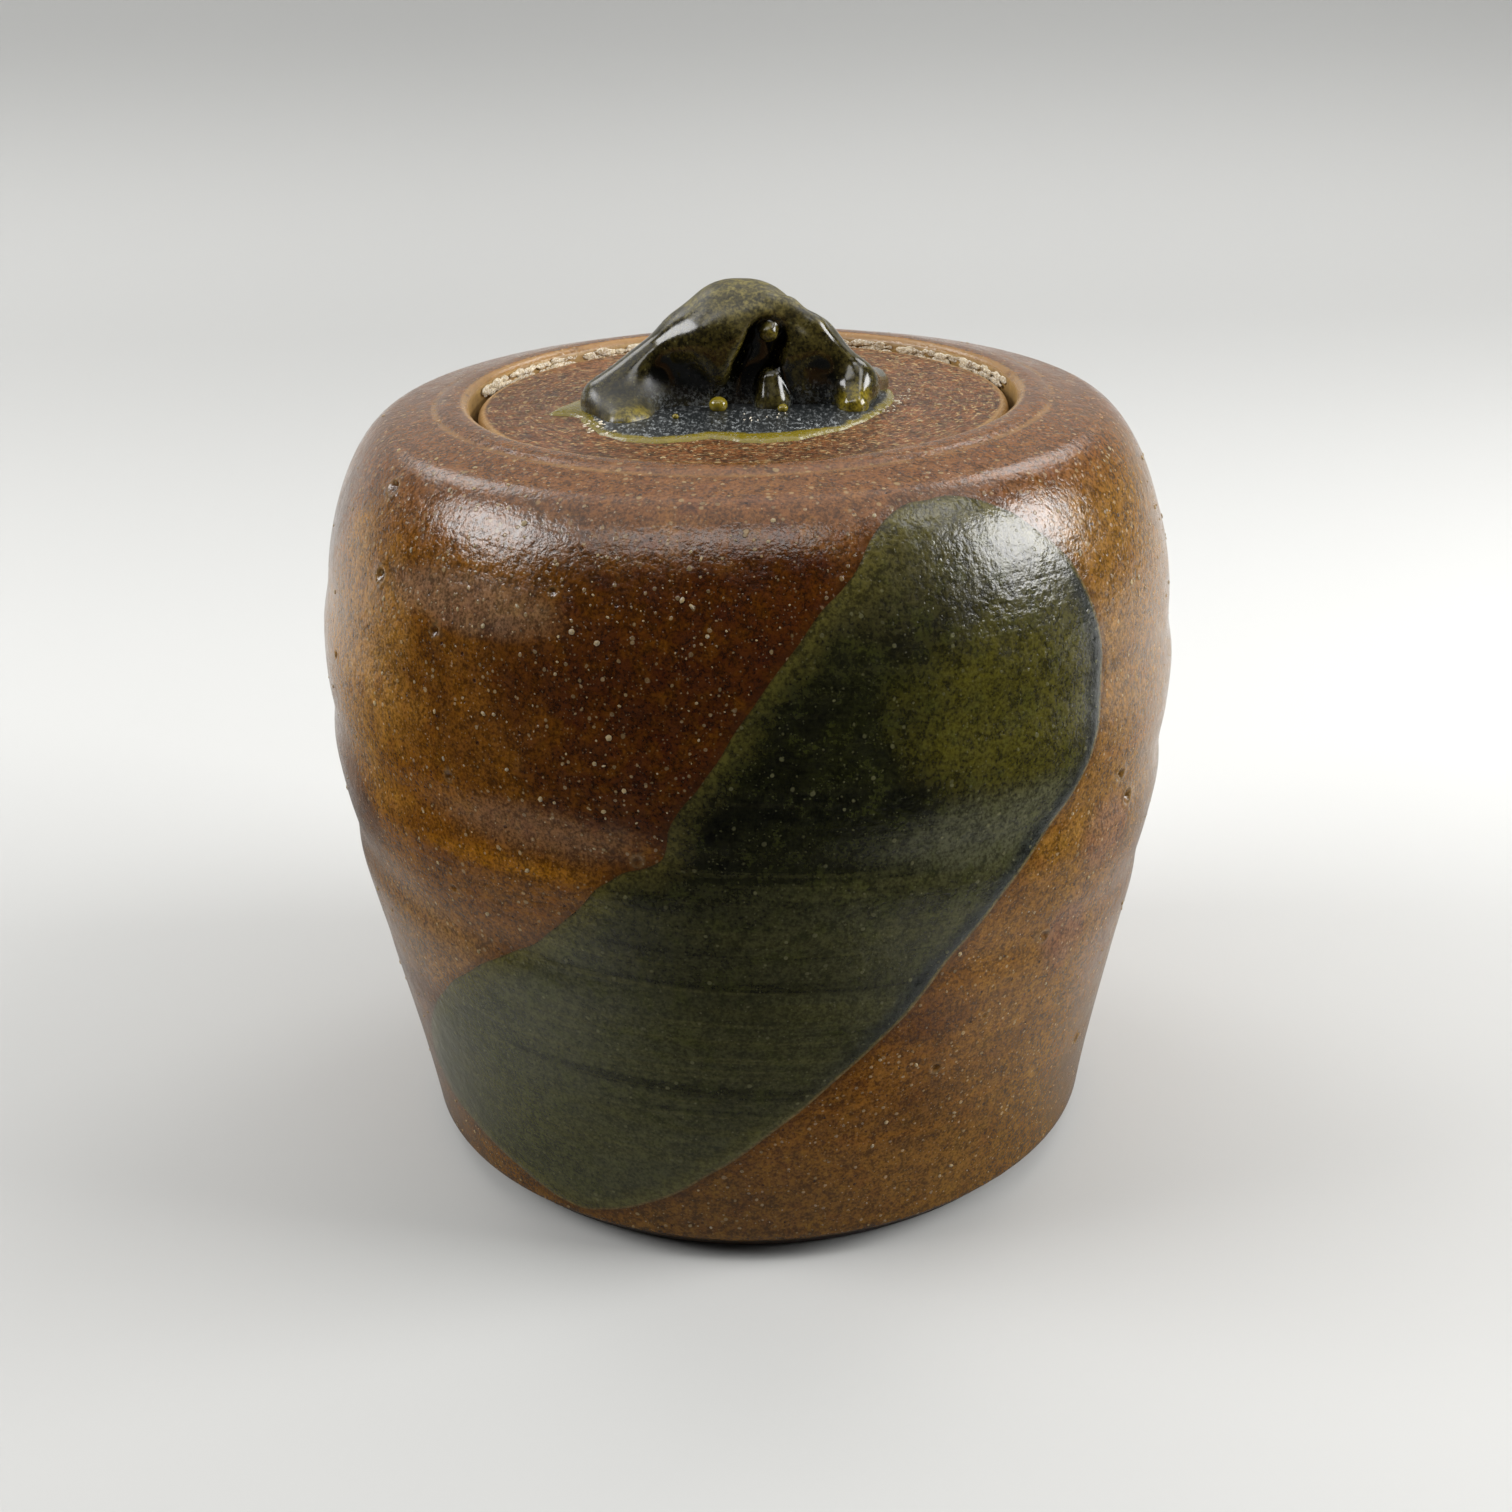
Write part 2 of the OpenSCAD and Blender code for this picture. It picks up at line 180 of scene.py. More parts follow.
# Soft lamps of the stage: place, aim and size in metres, power in watts
REFLECTOR = "front_reflector"
LAMPS = {
    "ceiling_left": ((-1.75, -0.2, 1.2), (-1.75, -0.2, 0), (1.3, 1.0), 47.0),
    REFLECTOR: ((-0.25, -0.74, 1.2), (-0.25, -0.74, 0), (1.3, 0.4), 7.5),
    "ceiling": ((0, 0.5, 1.5), (0, 0.5, 0), (2.4, 2.0), 17.0),
    "ceiling_right": ((0.85, -0.2, 1.2), (0.85, -0.2, 0), (0.35, 0.5), 2.6),
    "right_window": ((0.95, -0.12, 0.53), (0, 0.1, 0.08), (0.56, 0.44), 11.0),
    "back_left": ((-0.7, 0.8, 1.0), (-0.1, 0.5, 0), (0.5, 0.5), 2.5),
    "back_right": ((0.7, 0.8, 1.0), (0.1, 0.5, 0), (0.5, 0.5), 3.0),
}
BLACK = (0, 0, 0)


class JarForm(PropertyGroup):
    """Sizes of the thrown jar."""

    foot_radius: FloatProperty(
        name="Foot Radius", description="Radius of the flat foot", default=65 * MM, unit="LENGTH"
    )
    foot_ring: FloatProperty(
        name="Foot Ring", description="Width of the ring that stands on the table",
        default=13 * MM, unit="LENGTH",
    )
    foot_hollow: FloatProperty(
        name="Foot Hollow", description="Depth of the hollow turned under the foot",
        default=1.6 * MM, unit="LENGTH",
    )
    bevel_width: FloatProperty(
        name="Bevel Width", description="Width of the trimmed bevel", default=5 * MM, unit="LENGTH"
    )
    bevel_height: FloatProperty(
        name="Bevel Height", description="Height of the trimmed bevel", default=5.5 * MM, unit="LENGTH"
    )
    belly_radius: FloatProperty(
        name="Belly Radius", description="Radius of the widest ring", default=83.5 * MM, unit="LENGTH"
    )
    belly_height: FloatProperty(
        name="Belly Height", description="Height of the widest ring", default=100 * MM, unit="LENGTH"
    )
    wall_lean: FloatProperty(
        name="Wall Lean", description="Lean of the wall above the foot",
        default=math.radians(7.5), subtype="ANGLE",
    )
    wall: FloatProperty(name="Wall", description="Thickness of the wall", default=7 * MM, unit="LENGTH")
    floor: FloatProperty(name="Floor", description="Thickness of the floor", default=7.5 * MM, unit="LENGTH")
    floor_sweep: FloatProperty(
        name="Floor Sweep", description="Radius of the turn from floor to wall",
        default=14 * MM, unit="LENGTH",
    )
    rim_radius: FloatProperty(
        name="Rim Radius", description="Radius where the shoulder meets the rim",
        default=67 * MM, unit="LENGTH",
    )
    rim_drop: FloatProperty(
        name="Rim Drop", description="Fall of the rim from lip to shoulder",
        default=2.4 * MM, unit="LENGTH",
    )
    shoulder_rise: FloatProperty(
        name="Shoulder Rise", description="Height that the belly carries into the shoulder", default=26 * MM,
        unit="LENGTH",
    )
    shoulder_reach: FloatProperty(
        name="Shoulder Reach", description="Width that the rim carries into the shoulder", default=9 * MM,
        unit="LENGTH",
    )
    lip_width: FloatProperty(name="Lip Width", description="Width of the lip", default=6 * MM, unit="LENGTH")
    lip_groove: FloatProperty(
        name="Lip Groove", description="Depth of the groove outside the lip",
        default=0.8 * MM, unit="LENGTH",
    )
    lip_round: FloatProperty(
        name="Lip Round", description="Radius of the lip's inner edge", default=1.8 * MM, unit="LENGTH"
    )
    mouth_radius: FloatProperty(
        name="Mouth Radius", description="Radius of the mouth", default=52.2 * MM, unit="LENGTH"
    )
    ledge_width: FloatProperty(
        name="Ledge Width", description="Width of the lid's ledge", default=6 * MM, unit="LENGTH"
    )
    ledge_thick: FloatProperty(
        name="Ledge Thickness", description="Thickness of the lid's ledge", default=6 * MM, unit="LENGTH"
    )
    ring_pitch: FloatProperty(
        name="Ring Pitch", description="Rise of the throwing spiral in one turn",
        default=24 * MM, unit="LENGTH",
    )
    ring_height: FloatProperty(
        name="Ring Height", description="Height of a ring's crest at the front",
        default=82.5 * MM, unit="LENGTH",
    )
    ring_depth: FloatProperty(
        name="Ring Depth", description="How far a ring stands out", default=0.42 * MM, unit="LENGTH"
    )
    wobble: FloatProperty(
        name="Wobble", description="Unevenness left by the hand", default=0.5 * MM, unit="LENGTH"
    )
    segments: IntProperty(name="Segments", description="Steps round the wheel", default=288, min=24)


class GlazeForm(PropertyGroup):
    """Sizes of the poured glazes."""

    pour_thick: FloatProperty(
        name="Pour Thickness", description="Thickness of the glaze sash", default=0.3 * MM, unit="LENGTH"
    )
    pour_roll: FloatProperty(
        name="Pour Roll", description="Extra thickness rolled up at its lower edge",
        default=0.16 * MM, unit="LENGTH",
    )
    pool_thick: FloatProperty(
        name="Pool Thickness", description="Thickness of the pool on the lid",
        default=0.8 * MM, unit="LENGTH",
    )
    mesh_step: FloatProperty(
        name="Mesh Step", description="Spacing of the glaze mesh", default=1.1 * MM, unit="LENGTH"
    )


class KnobForm(PropertyGroup):
    """Feel of the pinched knob's clay."""

    blend: FloatProperty(
        name="Blend", description="How softly the rolls of clay run together",
        default=1.3 * MM, unit="LENGTH",
    )
    voxel: FloatProperty(
        name="Voxel", description="Step of the grid that the clay is shaped in",
        default=0.42 * MM, unit="LENGTH",
    )
    uneven: FloatProperty(
        name="Unevenness", description="Ripple of the glazed surface", default=0.12 * MM, unit="LENGTH"
    )
    soften: IntProperty(name="Soften", description="Rounds of smoothing", default=3, min=0)


class Finish(PropertyGroup):
    """Colours of clay, glaze and stage."""

    clay: FloatVectorProperty(
        name="Iron Brown", description="Main colour of the jar",
        subtype="COLOR", default=(0.165, 0.062, 0.004),
    )
    clay_dark: FloatVectorProperty(
        name="Chocolate", description="Colour of the dark band",
        subtype="COLOR", default=(0.047, 0.0106, 0.0004),
    )
    clay_gold: FloatVectorProperty(
        name="Golden Brown", description="Colour where the fire ran hot",
        subtype="COLOR", default=(0.205, 0.094, 0.012),
    )
    clay_plum: FloatVectorProperty(
        name="Plum Brown", description="Colour of shoulder and lid",
        subtype="COLOR", default=(0.148, 0.058, 0.016),
    )
    clay_raw: FloatVectorProperty(
        name="Raw Clay", description="Colour of bare clay", subtype="COLOR", default=(0.42, 0.24, 0.085)
    )
    sand: FloatVectorProperty(
        name="Sand", description="Colour of sand grains", subtype="COLOR", default=(0.44, 0.32, 0.15)
    )
    green: FloatVectorProperty(
        name="Deep Green", description="Colour of the glaze sash",
        subtype="COLOR", default=(0.006, 0.0062, 0.002),
    )
    moss: FloatVectorProperty(
        name="Moss", description="Colour of thin green glaze",
        subtype="COLOR", default=(0.030, 0.033, 0.005),
    )
    olive: FloatVectorProperty(
        name="Olive", description="Colour of thin glaze at an edge",
        subtype="COLOR", default=(0.30, 0.23, 0.02),
    )
    wad: FloatVectorProperty(
        name="Wad Clay", description="Colour of the kiln wads",
        subtype="COLOR", default=(0.82, 0.71, 0.48),
    )
    floor: FloatVectorProperty(
        name="Floor", description="Colour of the paper floor",
        subtype="COLOR", default=(0.66, 0.66, 0.644),
    )


PROPERTY_GROUPS = {"jar": JarForm, "glaze": GlazeForm, "knob": KnobForm, "finish": Finish}


def settings(context, group):
    """The scene's values of one property group."""
    return getattr(context.scene, "mizusashi_" + group)


# Curves and outlines


def bezier(points, steps):
    """Points along a cubic Bezier curve, without its first point."""
    t = np.linspace(0, 1, steps + 1)[1:, None]
    p = [np.array(point, float) for point in points]
    return p[0] * (1 - t) ** 3 + 3 * p[1] * t * (1 - t) ** 2 + 3 * p[2] * t**2 * (1 - t) + p[3] * t**3


def line(start, end, steps):
    """Points along a straight line, without its first point."""
    t = np.linspace(0, 1, steps + 1)[1:, None]
    return np.array(start) * (1 - t) + np.array(end) * t


def arc(centre, radius, start, end, steps):
    """Points of a circular arc between two angles in degrees."""
    a = np.radians(np.linspace(start, end, steps + 1))
    return np.stack([centre[0] + radius * np.cos(a), centre[1] + radius * np.sin(a)], 1)


def closed_spline(points, steps):
    """A closed smooth curve through a ring of points."""
    p = np.array(points, float)
    before, after, later = np.roll(p, 1, 0), np.roll(p, -1, 0), np.roll(p, -2, 0)
    t = (np.arange(steps) / steps)[None, :, None]
    a, b, c, d = (q[:, None, :] for q in (before, p, after, later))
    curve = 2 * b + (c - a) * t + (2 * a - 5 * b + 4 * c - d) * t**2 + (3 * b - a - 3 * c + d) * t**3
    return 0.5 * curve.reshape(-1, 2)


def edge_distance(points, outline):
    """Signed distance of points to a closed outline, positive inside."""
    a, b = outline, np.roll(outline, -1, 0)
    ab = b - a
    nearest = np.full(len(points), np.inf)
    inside = np.zeros(len(points), bool)
    for start, step, end in zip(a, ab, b):
        rel = points - start
        t = np.clip(rel @ step / (step @ step), 0, 1)
        nearest = np.minimum(nearest, np.hypot(*(rel - t[:, None] * step).T))
        crosses = (start[1] > points[:, 1]) != (end[1] > points[:, 1])
        if step[1] != 0:
            inside ^= crosses & (points[:, 0] < start[0] + (points[:, 1] - start[1]) * step[0] / step[1])
    return np.where(inside, nearest, -nearest)


def filled_outline(outline, step, edge_steps):
    """Fills a closed outline with triangles that get finer at its edge.

    Returns the points, the triangles and each point's depth inside the outline.
    """
    tangent = np.roll(outline, -1, 0) - np.roll(outline, 1, 0)
    normal = np.stack([tangent[:, 1], -tangent[:, 0]], 1)
    normal /= np.linalg.norm(normal, axis=1)[:, None]
    if edge_distance(outline[:1] + normal[:1] * step * 0.1, outline)[0] < 0:
        normal = -normal
    rings = [outline + normal * depth for depth in edge_steps]
    low, high = outline.min(0), outline.max(0)
    rows = np.arange(low[1], high[1], step * 0.87)
    grid = [
        (x + (row % 2) * step / 2, y)
        for row, y in enumerate(rows)
        for x in np.arange(low[0], high[0], step)
    ]
    grid = np.array(grid)
    keep = [outline]
    for depth, ring in zip(edge_steps, rings):
        keep.append(ring[edge_distance(ring, outline) > depth * 0.95])
    keep.append(grid[edge_distance(grid, outline) > edge_steps[-1] + step * 0.7])
    points = np.concatenate(keep)
    edges = [(i, (i + 1) % len(outline)) for i in range(len(outline))]
    filled = delaunay_2d_cdt([Vector(p) for p in points], edges, [], 1, 1e-9)
    points = np.array([(v.x, v.y) for v in filled[0]])
    return points, [list(f) for f in filled[2]], np.maximum(edge_distance(points, outline), 0)


# Meshes


def new_piece(name, verts, faces, smooth=True):
    """A mesh object at the origin, linked to the scene."""
    mesh = bpy.data.meshes.new(name)
    mesh.from_pydata([tuple(v) for v in verts], [], [tuple(f) for f in faces])
    mesh.validate()
    mesh.update()
    if smooth:
        mesh.shade_smooth()
    piece = bpy.data.objects.new(name, mesh)
    bpy.context.scene.collection.objects.link(piece)
    return piece


def new_wire(name, lines):
    """A piece made of open lines of points."""
    verts, edges = [], []
    for points in lines:
        edges += [(i, i + 1) for i in range(len(verts), len(verts) + len(points) - 1)]
        verts += points
    piece = new_piece(name, [], [])
    piece.data.from_pydata(verts, edges, [])
    return piece


def coordinates(mesh):
    """Vertex positions of a mesh as an array."""
    flat = np.empty(len(mesh.vertices) * 3)
    mesh.vertices.foreach_get("co", flat)
    return flat.reshape(-1, 3)


def set_coordinates(mesh, points):
    """Moves the vertices of a mesh."""
    mesh.vertices.foreach_set("co", np.asarray(points, float).ravel())
    mesh.update()


def edge_ends(mesh):
    """The two vertices of each edge."""
    ends = np.empty(len(mesh.edges) * 2, int)
    mesh.edges.foreach_get("vertices", ends)
    return ends.reshape(-1, 2)


def store(mesh, name, values):
    """Keeps one number per vertex as a named attribute."""
    attribute = mesh.attributes.get(name) or mesh.attributes.new(name, "FLOAT", "POINT")
    attribute.data.foreach_set("value", np.asarray(values, np.float32))


def revolve(profile, segments):
    """Vertices and quads of a closed profile turned about Z, with a pole at each end."""
    profile = np.asarray(profile, float)
    ring = profile[1:-1]
    a = 2 * np.pi * np.arange(segments) / segments
    verts = np.empty((len(ring), segments, 3))
    verts[:, :, 0] = ring[:, :1] * np.sin(a)
    verts[:, :, 1] = ring[:, :1] * np.cos(a)
    verts[:, :, 2] = ring[:, 1:]
    verts = np.concatenate([verts.reshape(-1, 3), [[0, 0, profile[0, 1]], [0, 0, profile[-1, 1]]]])
    bottom, top = len(verts) - 2, len(verts) - 1
    last = (len(ring) - 1) * segments
    faces = []
    for i in range(segments):
        j = (i + 1) % segments
        faces.append((bottom, i, j))
        faces.append((top, last + j, last + i))
        for k in range(len(ring) - 1):
            faces.append((k * segments + j, k * segments + i, (k + 1) * segments + i, (k + 1) * segments + j))
    return verts, faces


def closed_skin(name, top, bottom, triangles, depth):
    """A closed skin: top and bottom sheets that share the points of their edge."""
    rim = depth < ON_EDGE
    below = np.where(rim, np.arange(len(top)), len(top) + np.cumsum(~rim) - 1)
    verts = np.concatenate([top, bottom[~rim]])
    faces = [tuple(t) for t in triangles] + [tuple(below[i] for i in reversed(t)) for t in triangles]
    piece = new_piece(name, verts, faces)
    store(piece.data, "depth", np.concatenate([depth, depth[~rim]]) / MM)
    on_rim = np.append(rim, np.zeros((~rim).sum(), bool))
    crease = piece.data.attributes.new("sharp_edge", "BOOLEAN", "EDGE")
    crease.data.foreach_set("value", on_rim[edge_ends(piece.data)].all(1))
    return piece


def evaluated(piece):
    """Turns a piece and its modifiers into a plain mesh."""
    depsgraph = bpy.context.evaluated_depsgraph_get()
    mesh = bpy.data.meshes.new_from_object(
        piece.evaluated_get(depsgraph), preserve_all_data_layers=True, depsgraph=depsgraph
    )
    plain = piece.data
    piece.modifiers.clear()
    piece.data = mesh
    bpy.data.meshes.remove(plain)
    mesh.name = piece.name
    return piece


def grow(piece, key, **values):
    """Runs a geometry tree on a piece and keeps the result as its plain mesh."""
    tree = tree_of(key)
    modifier = piece.modifiers.new(tree.name, "NODES")
    modifier.node_group = tree
    values = {socket_name(name): value for name, value in values.items()}
    for item in tree.interface.items_tree:
        if item.item_type == "SOCKET" and item.in_out == "INPUT" and item.name in values:
            modifier[item.identifier] = values[item.name]
    return evaluated(piece)


def dress(piece, material, body, slot, *nodes):
    """Gives a piece its material and its body, and hides the CAD parts of the nodes that it stands for. The
    slot is not used.
    """
    piece.data.materials.clear()
    piece.data.materials.append(material)
    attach(piece, body)
    if nodes:
        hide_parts(*nodes)


# Node trees


def operation(name, turned=False):
    """A Python operator that adds a math node to the tree."""

    def apply(self, other):
        return self.w.math(name, other, self) if turned else self.w.math(name, self, other)

    return apply


class Wire:
    """One output of a node, ready for use in sums."""

    def __init__(self, w, socket):
        self.w, self.socket = w, socket

    __add__, __radd__ = operation("ADD"), operation("ADD", turned=True)
    __sub__, __rsub__ = operation("SUBTRACT"), operation("SUBTRACT", turned=True)
    __mul__, __rmul__ = operation("MULTIPLY"), operation("MULTIPLY", turned=True)
    __truediv__, __rtruediv__ = operation("DIVIDE"), operation("DIVIDE", turned=True)


class Wiring:
    """Short calls that add nodes to one tree and join them up."""

    def __init__(self, tree):
        self.tree = tree

    def feed(self, socket, value):
        """Joins a wire to a socket, or sets the socket's own value."""
        if isinstance(value, Wire):
            self.tree.links.new(value.socket, socket)
        elif hasattr(socket.default_value, "__len__") and len(socket.default_value) == 4 and len(value) == 3:
            socket.default_value = (*value, 1)
        else:
            socket.default_value = value

    def add(self, kind, inputs=None, **options):
        """A new node with its options and inputs set."""
        node = self.tree.nodes.new(kind)
        for name, value in options.items():
            setattr(node, name, value)
        for key, value in (inputs or {}).items():
            self.feed(node.inputs[key], value)
        return node

    def wires(self, kind, inputs=None, **options):
        """All outputs of a new node."""
        return [Wire(self, socket) for socket in self.add(kind, inputs, **options).outputs]

    def wire(self, kind, inputs=None, output=0, **options):
        """One output of a new node."""
        return Wire(self, self.add(kind, inputs, **options).outputs[output])

    def group(self, key, **inputs):
        """The outputs of a shared node group."""
        tree = tree_of(key)
        kind = "GeometryNodeGroup" if tree.bl_idname == GEOMETRY else "ShaderNodeGroup"
        return self.wires(kind, {socket_name(name): value for name, value in inputs.items()}, node_tree=tree)

    def math(self, name, *values, clamp=False):
        return self.wire("ShaderNodeMath", dict(enumerate(values)), operation=name, use_clamp=clamp)

    def vector(self, name, *values):
        return self.wire("ShaderNodeVectorMath", dict(enumerate(values)), operation=name)

    def measure(self, name, *values):
        """A vector operation whose result is one number."""
        return self.wire("ShaderNodeVectorMath", dict(enumerate(values)), 1, operation=name)

    def scaled(self, vector, factor):
        return self.wire("ShaderNodeVectorMath", {0: vector, "Scale": factor}, operation="SCALE")

    def split(self, vector):
        return self.wires("ShaderNodeSeparateXYZ", {0: vector})

    def join(self, *values):
        return self.wire("ShaderNodeCombineXYZ", dict(enumerate(values)))

    def place(self):
        """The point's place in the piece's own coordinates."""
        return self.wire("ShaderNodeTexCoord", output="Object")

    def attribute(self, name):
        return self.wire("ShaderNodeAttribute", output="Fac", attribute_name=name)

    def mix(self, factor, first, second, blend="MIX"):
        inputs = {0: factor, 6: first, 7: second}
        return self.wire("ShaderNodeMix", inputs, 2, data_type="RGBA", blend_type=blend)

    def span(self, value, low, high, to_low=0.0, to_high=1.0):
        """A value's way from low to high, eased at both ends."""
        inputs = dict(enumerate((value, low, high, to_low, to_high)))
        return self.wire("ShaderNodeMapRange", inputs, interpolation_type="SMOOTHSTEP")

    def noise(self, vector, scale, detail=2.0, roughness=0.5, distortion=0.0):
        return self.wire("ShaderNodeTexNoise", {
            "Vector": vector, "Scale": scale, "Detail": detail,
            "Roughness": roughness, "Distortion": distortion,
        })

    def random(self, low, high, seed):
        """A random number for each point."""
        inputs = {2: low, 3: high, "Seed": seed}
        return self.wire("FunctionNodeRandomValue", inputs, 1, data_type="FLOAT")


SHADER, GEOMETRY = "ShaderNodeTree", "GeometryNodeTree"
SOCKETS = {
    float: "NodeSocketFloat", int: "NodeSocketInt", tuple: "NodeSocketVector", "Place": "NodeSocketVector",
    "Geometry": "NodeSocketGeometry", "Material": "NodeSocketMaterial",
}
BUILDERS = {}


def socket_name(word):
    """A socket's name from a Python name."""
    return word.replace("_", " ").title()


def node_tree(key, name, kind, *outputs):
    """Keeps a function that wires up a node group. Its parameters after w are the group's inputs."""

    def keep(wire_up):
        BUILDERS[key] = name, kind, outputs, wire_up
        return wire_up

    return keep


def tree_of(key):
    """One shared node group, built at its first use."""
    name, kind, outputs, wire_up = BUILDERS[key]
    if name in bpy.data.node_groups:
        return bpy.data.node_groups[name]
    tree = bpy.data.node_groups.new(name, kind)
    inputs = list(inspect.signature(wire_up).parameters.values())[1:]
    for item in inputs:
        label = socket_name(item.name)
        form = SOCKETS.get(type(item.default)) or SOCKETS[label]
        socket = tree.interface.new_socket(label, in_out="INPUT", socket_type=form)
        if item.default is not None:
            socket.default_value = item.default
    for label in outputs:
        form = SOCKETS.get(label, SOCKETS[float])
        tree.interface.new_socket(label, in_out="OUTPUT", socket_type=form)
    if "Geometry" in outputs:
        tree.is_modifier = True
    w = Wiring(tree)
    entry = w.wires("NodeGroupInput")[: len(inputs)]
    leave = w.add("NodeGroupOutput").inputs
    results = wire_up(w, *entry)
    for label, result in zip(outputs, results):
        w.feed(leave[label], result)
    return tree


# Geometry trees


def ending(w, geometry, material):
    """Ends a geometry tree: real geometry in its material."""
    real = w.wire("GeometryNodeRealizeInstances", {"Geometry": geometry})
    return [w.wire("GeometryNodeSetMaterial", {"Geometry": real, "Material": material})]


@node_tree("wall", "Thrown wall", GEOMETRY, "Geometry")
def thrown_wall(
    w, geometry=None, ring_pitch=0.024, ring_height=0.08, ring_depth=0.0005, ring_low=0.03, ring_high=0.1,
    ring_fade=0.025, wobble=0.0004, wobble_scale=12.0, seed=3.0, material=None,
):
    """Pushes a turned wall out into a throwing spiral with the wobble of the hand."""
    place = w.wire("GeometryNodeInputPosition")
    x, y, z = w.split(place)
    compass = w.math("ARCTAN2", x, y * -1.0)
    phase = (z - ring_height) / ring_pitch * (2 * math.pi) + compass
    skew = (w.math("COSINE", phase) - 1.0) * -0.6
    fade_in = w.span(z, ring_low, ring_low + ring_fade)
    fade_out = w.span(z, ring_high, ring_high + ring_fade, 1.0, 0.0)
    ring = w.math("COSINE", phase + skew) * ring_depth * (fade_in * fade_out)
    uneven = w.wire(
        "ShaderNodeTexNoise", {"Vector": place, "W": seed, "Scale": wobble_scale, "Detail": 1.5},
        noise_dimensions="4D",
    )
    uneven = (uneven - 0.5) * (wobble * 2.0)
    flat = w.join(x, y)
    clear_of_axis = w.span(w.measure("LENGTH", flat), 0.02, 0.045)
    push = w.scaled(w.vector("NORMALIZE", flat), (ring + uneven) * clear_of_axis)
    moved = w.wire("GeometryNodeSetPosition", {"Geometry": geometry, "Offset": push})
    return ending(w, moved, material)


@node_tree("sand", "Sand grains", GEOMETRY, "Geometry")
def sand_grains(w, geometry=None, density=20000.0, grain=0.0005, flatness=0.4, seed=7, material=None):
    """Scatters grains of sand over the bare clay of a surface."""
    bare = w.wire("GeometryNodeInputNamedAttribute", {"Name": "bare"}, data_type="FLOAT")
    points, _, rotation = w.wires(
        "GeometryNodeDistributePointsOnFaces", {"Mesh": geometry, "Density": density * bare, "Seed": seed}
    )
    ball = w.wire("GeometryNodeMeshIcoSphere", {"Radius": grain, "Subdivisions": 1})
    size = w.math("POWER", w.random(0.0, 1.0, seed), 3.0) * 0.72 + 0.28
    turn = w.random(0.0, 2 * math.pi, seed + 1)
    narrow = w.random(0.45, 1.0, seed + 2)
    spun = w.wire(
        "FunctionNodeRotateRotation", {"Rotation": rotation, "Rotate By": w.join(0, 0, turn)},
        rotation_space="LOCAL",
    )
    grains = w.wire("GeometryNodeInstanceOnPoints", {
        "Points": points, "Instance": ball, "Rotation": spun,
        "Scale": w.join(size, size * narrow, size * flatness),
    })
    return ending(w, grains, material)


@node_tree("crumbs", "Wad crumbs", GEOMETRY, "Geometry")
def wad_crumbs(
    w, geometry=None, spacing=0.0012, crumb=0.001, flatten=(1.0, 0.5, 1.0), scatter=0.0005, roughness=0.0004,
    seed=11, material=None,
):
    """Sets broken crumbs of wad clay along the edges of a wire."""
    curve = w.wire("GeometryNodeMeshToCurve", {"Mesh": geometry})
    points = w.add("GeometryNodeCurveToPoints", {"Curve": curve, "Length": spacing}, mode="LENGTH").outputs
    jump = w.wire(
        "FunctionNodeRandomValue", {0: (-1, -1, -1), 1: (1, 1, 1), "Seed": seed}, data_type="FLOAT_VECTOR"
    )
    strewn = w.wire("GeometryNodeSetPosition", {
        "Geometry": Wire(w, points["Points"]), "Offset": w.scaled(jump, scatter),
    })
    ball = w.wire("GeometryNodeMeshIcoSphere", {"Radius": crumb, "Subdivisions": 3})
    crumbs = w.wire("GeometryNodeInstanceOnPoints", {
        "Points": strewn, "Instance": ball, "Rotation": Wire(w, points["Rotation"]),
        "Scale": w.scaled(flatten, w.random(0.35, 1.0, seed + 1)),
    })
    real = w.wire("GeometryNodeRealizeInstances", {"Geometry": crumbs})
    place = w.wire("GeometryNodeInputPosition")
    rough = w.wire("ShaderNodeTexNoise", {"Vector": place, "Scale": 900.0, "Detail": 3.0}, 1)
    rough = w.scaled(w.vector("SUBTRACT", rough, (0.5, 0.5, 0.5)), roughness * 2.0)
    broken = w.wire("GeometryNodeSetPosition", {"Geometry": real, "Offset": rough})
    return ending(w, broken, material)


@node_tree("roll", "Clay roll", GEOMETRY, "Distance")
def clay_roll(w, start=(0, 0, 0), end=(0, 0, 0), start_radius=0.004, end_radius=0.004):
    """Distance to a roll of clay between two round ends."""
    rel = w.vector("SUBTRACT", w.wire("GeometryNodeInputPosition"), start)
    axis = w.vector("SUBTRACT", end, start)
    reach, whole = w.measure("DOT_PRODUCT", rel, axis), w.measure("DOT_PRODUCT", axis, axis)
    along = w.math("DIVIDE", reach, whole, clamp=True)
    away = w.measure("LENGTH", w.vector("SUBTRACT", rel, w.scaled(axis, along)))
    return [away - (start_radius + along * (end_radius - start_radius))]


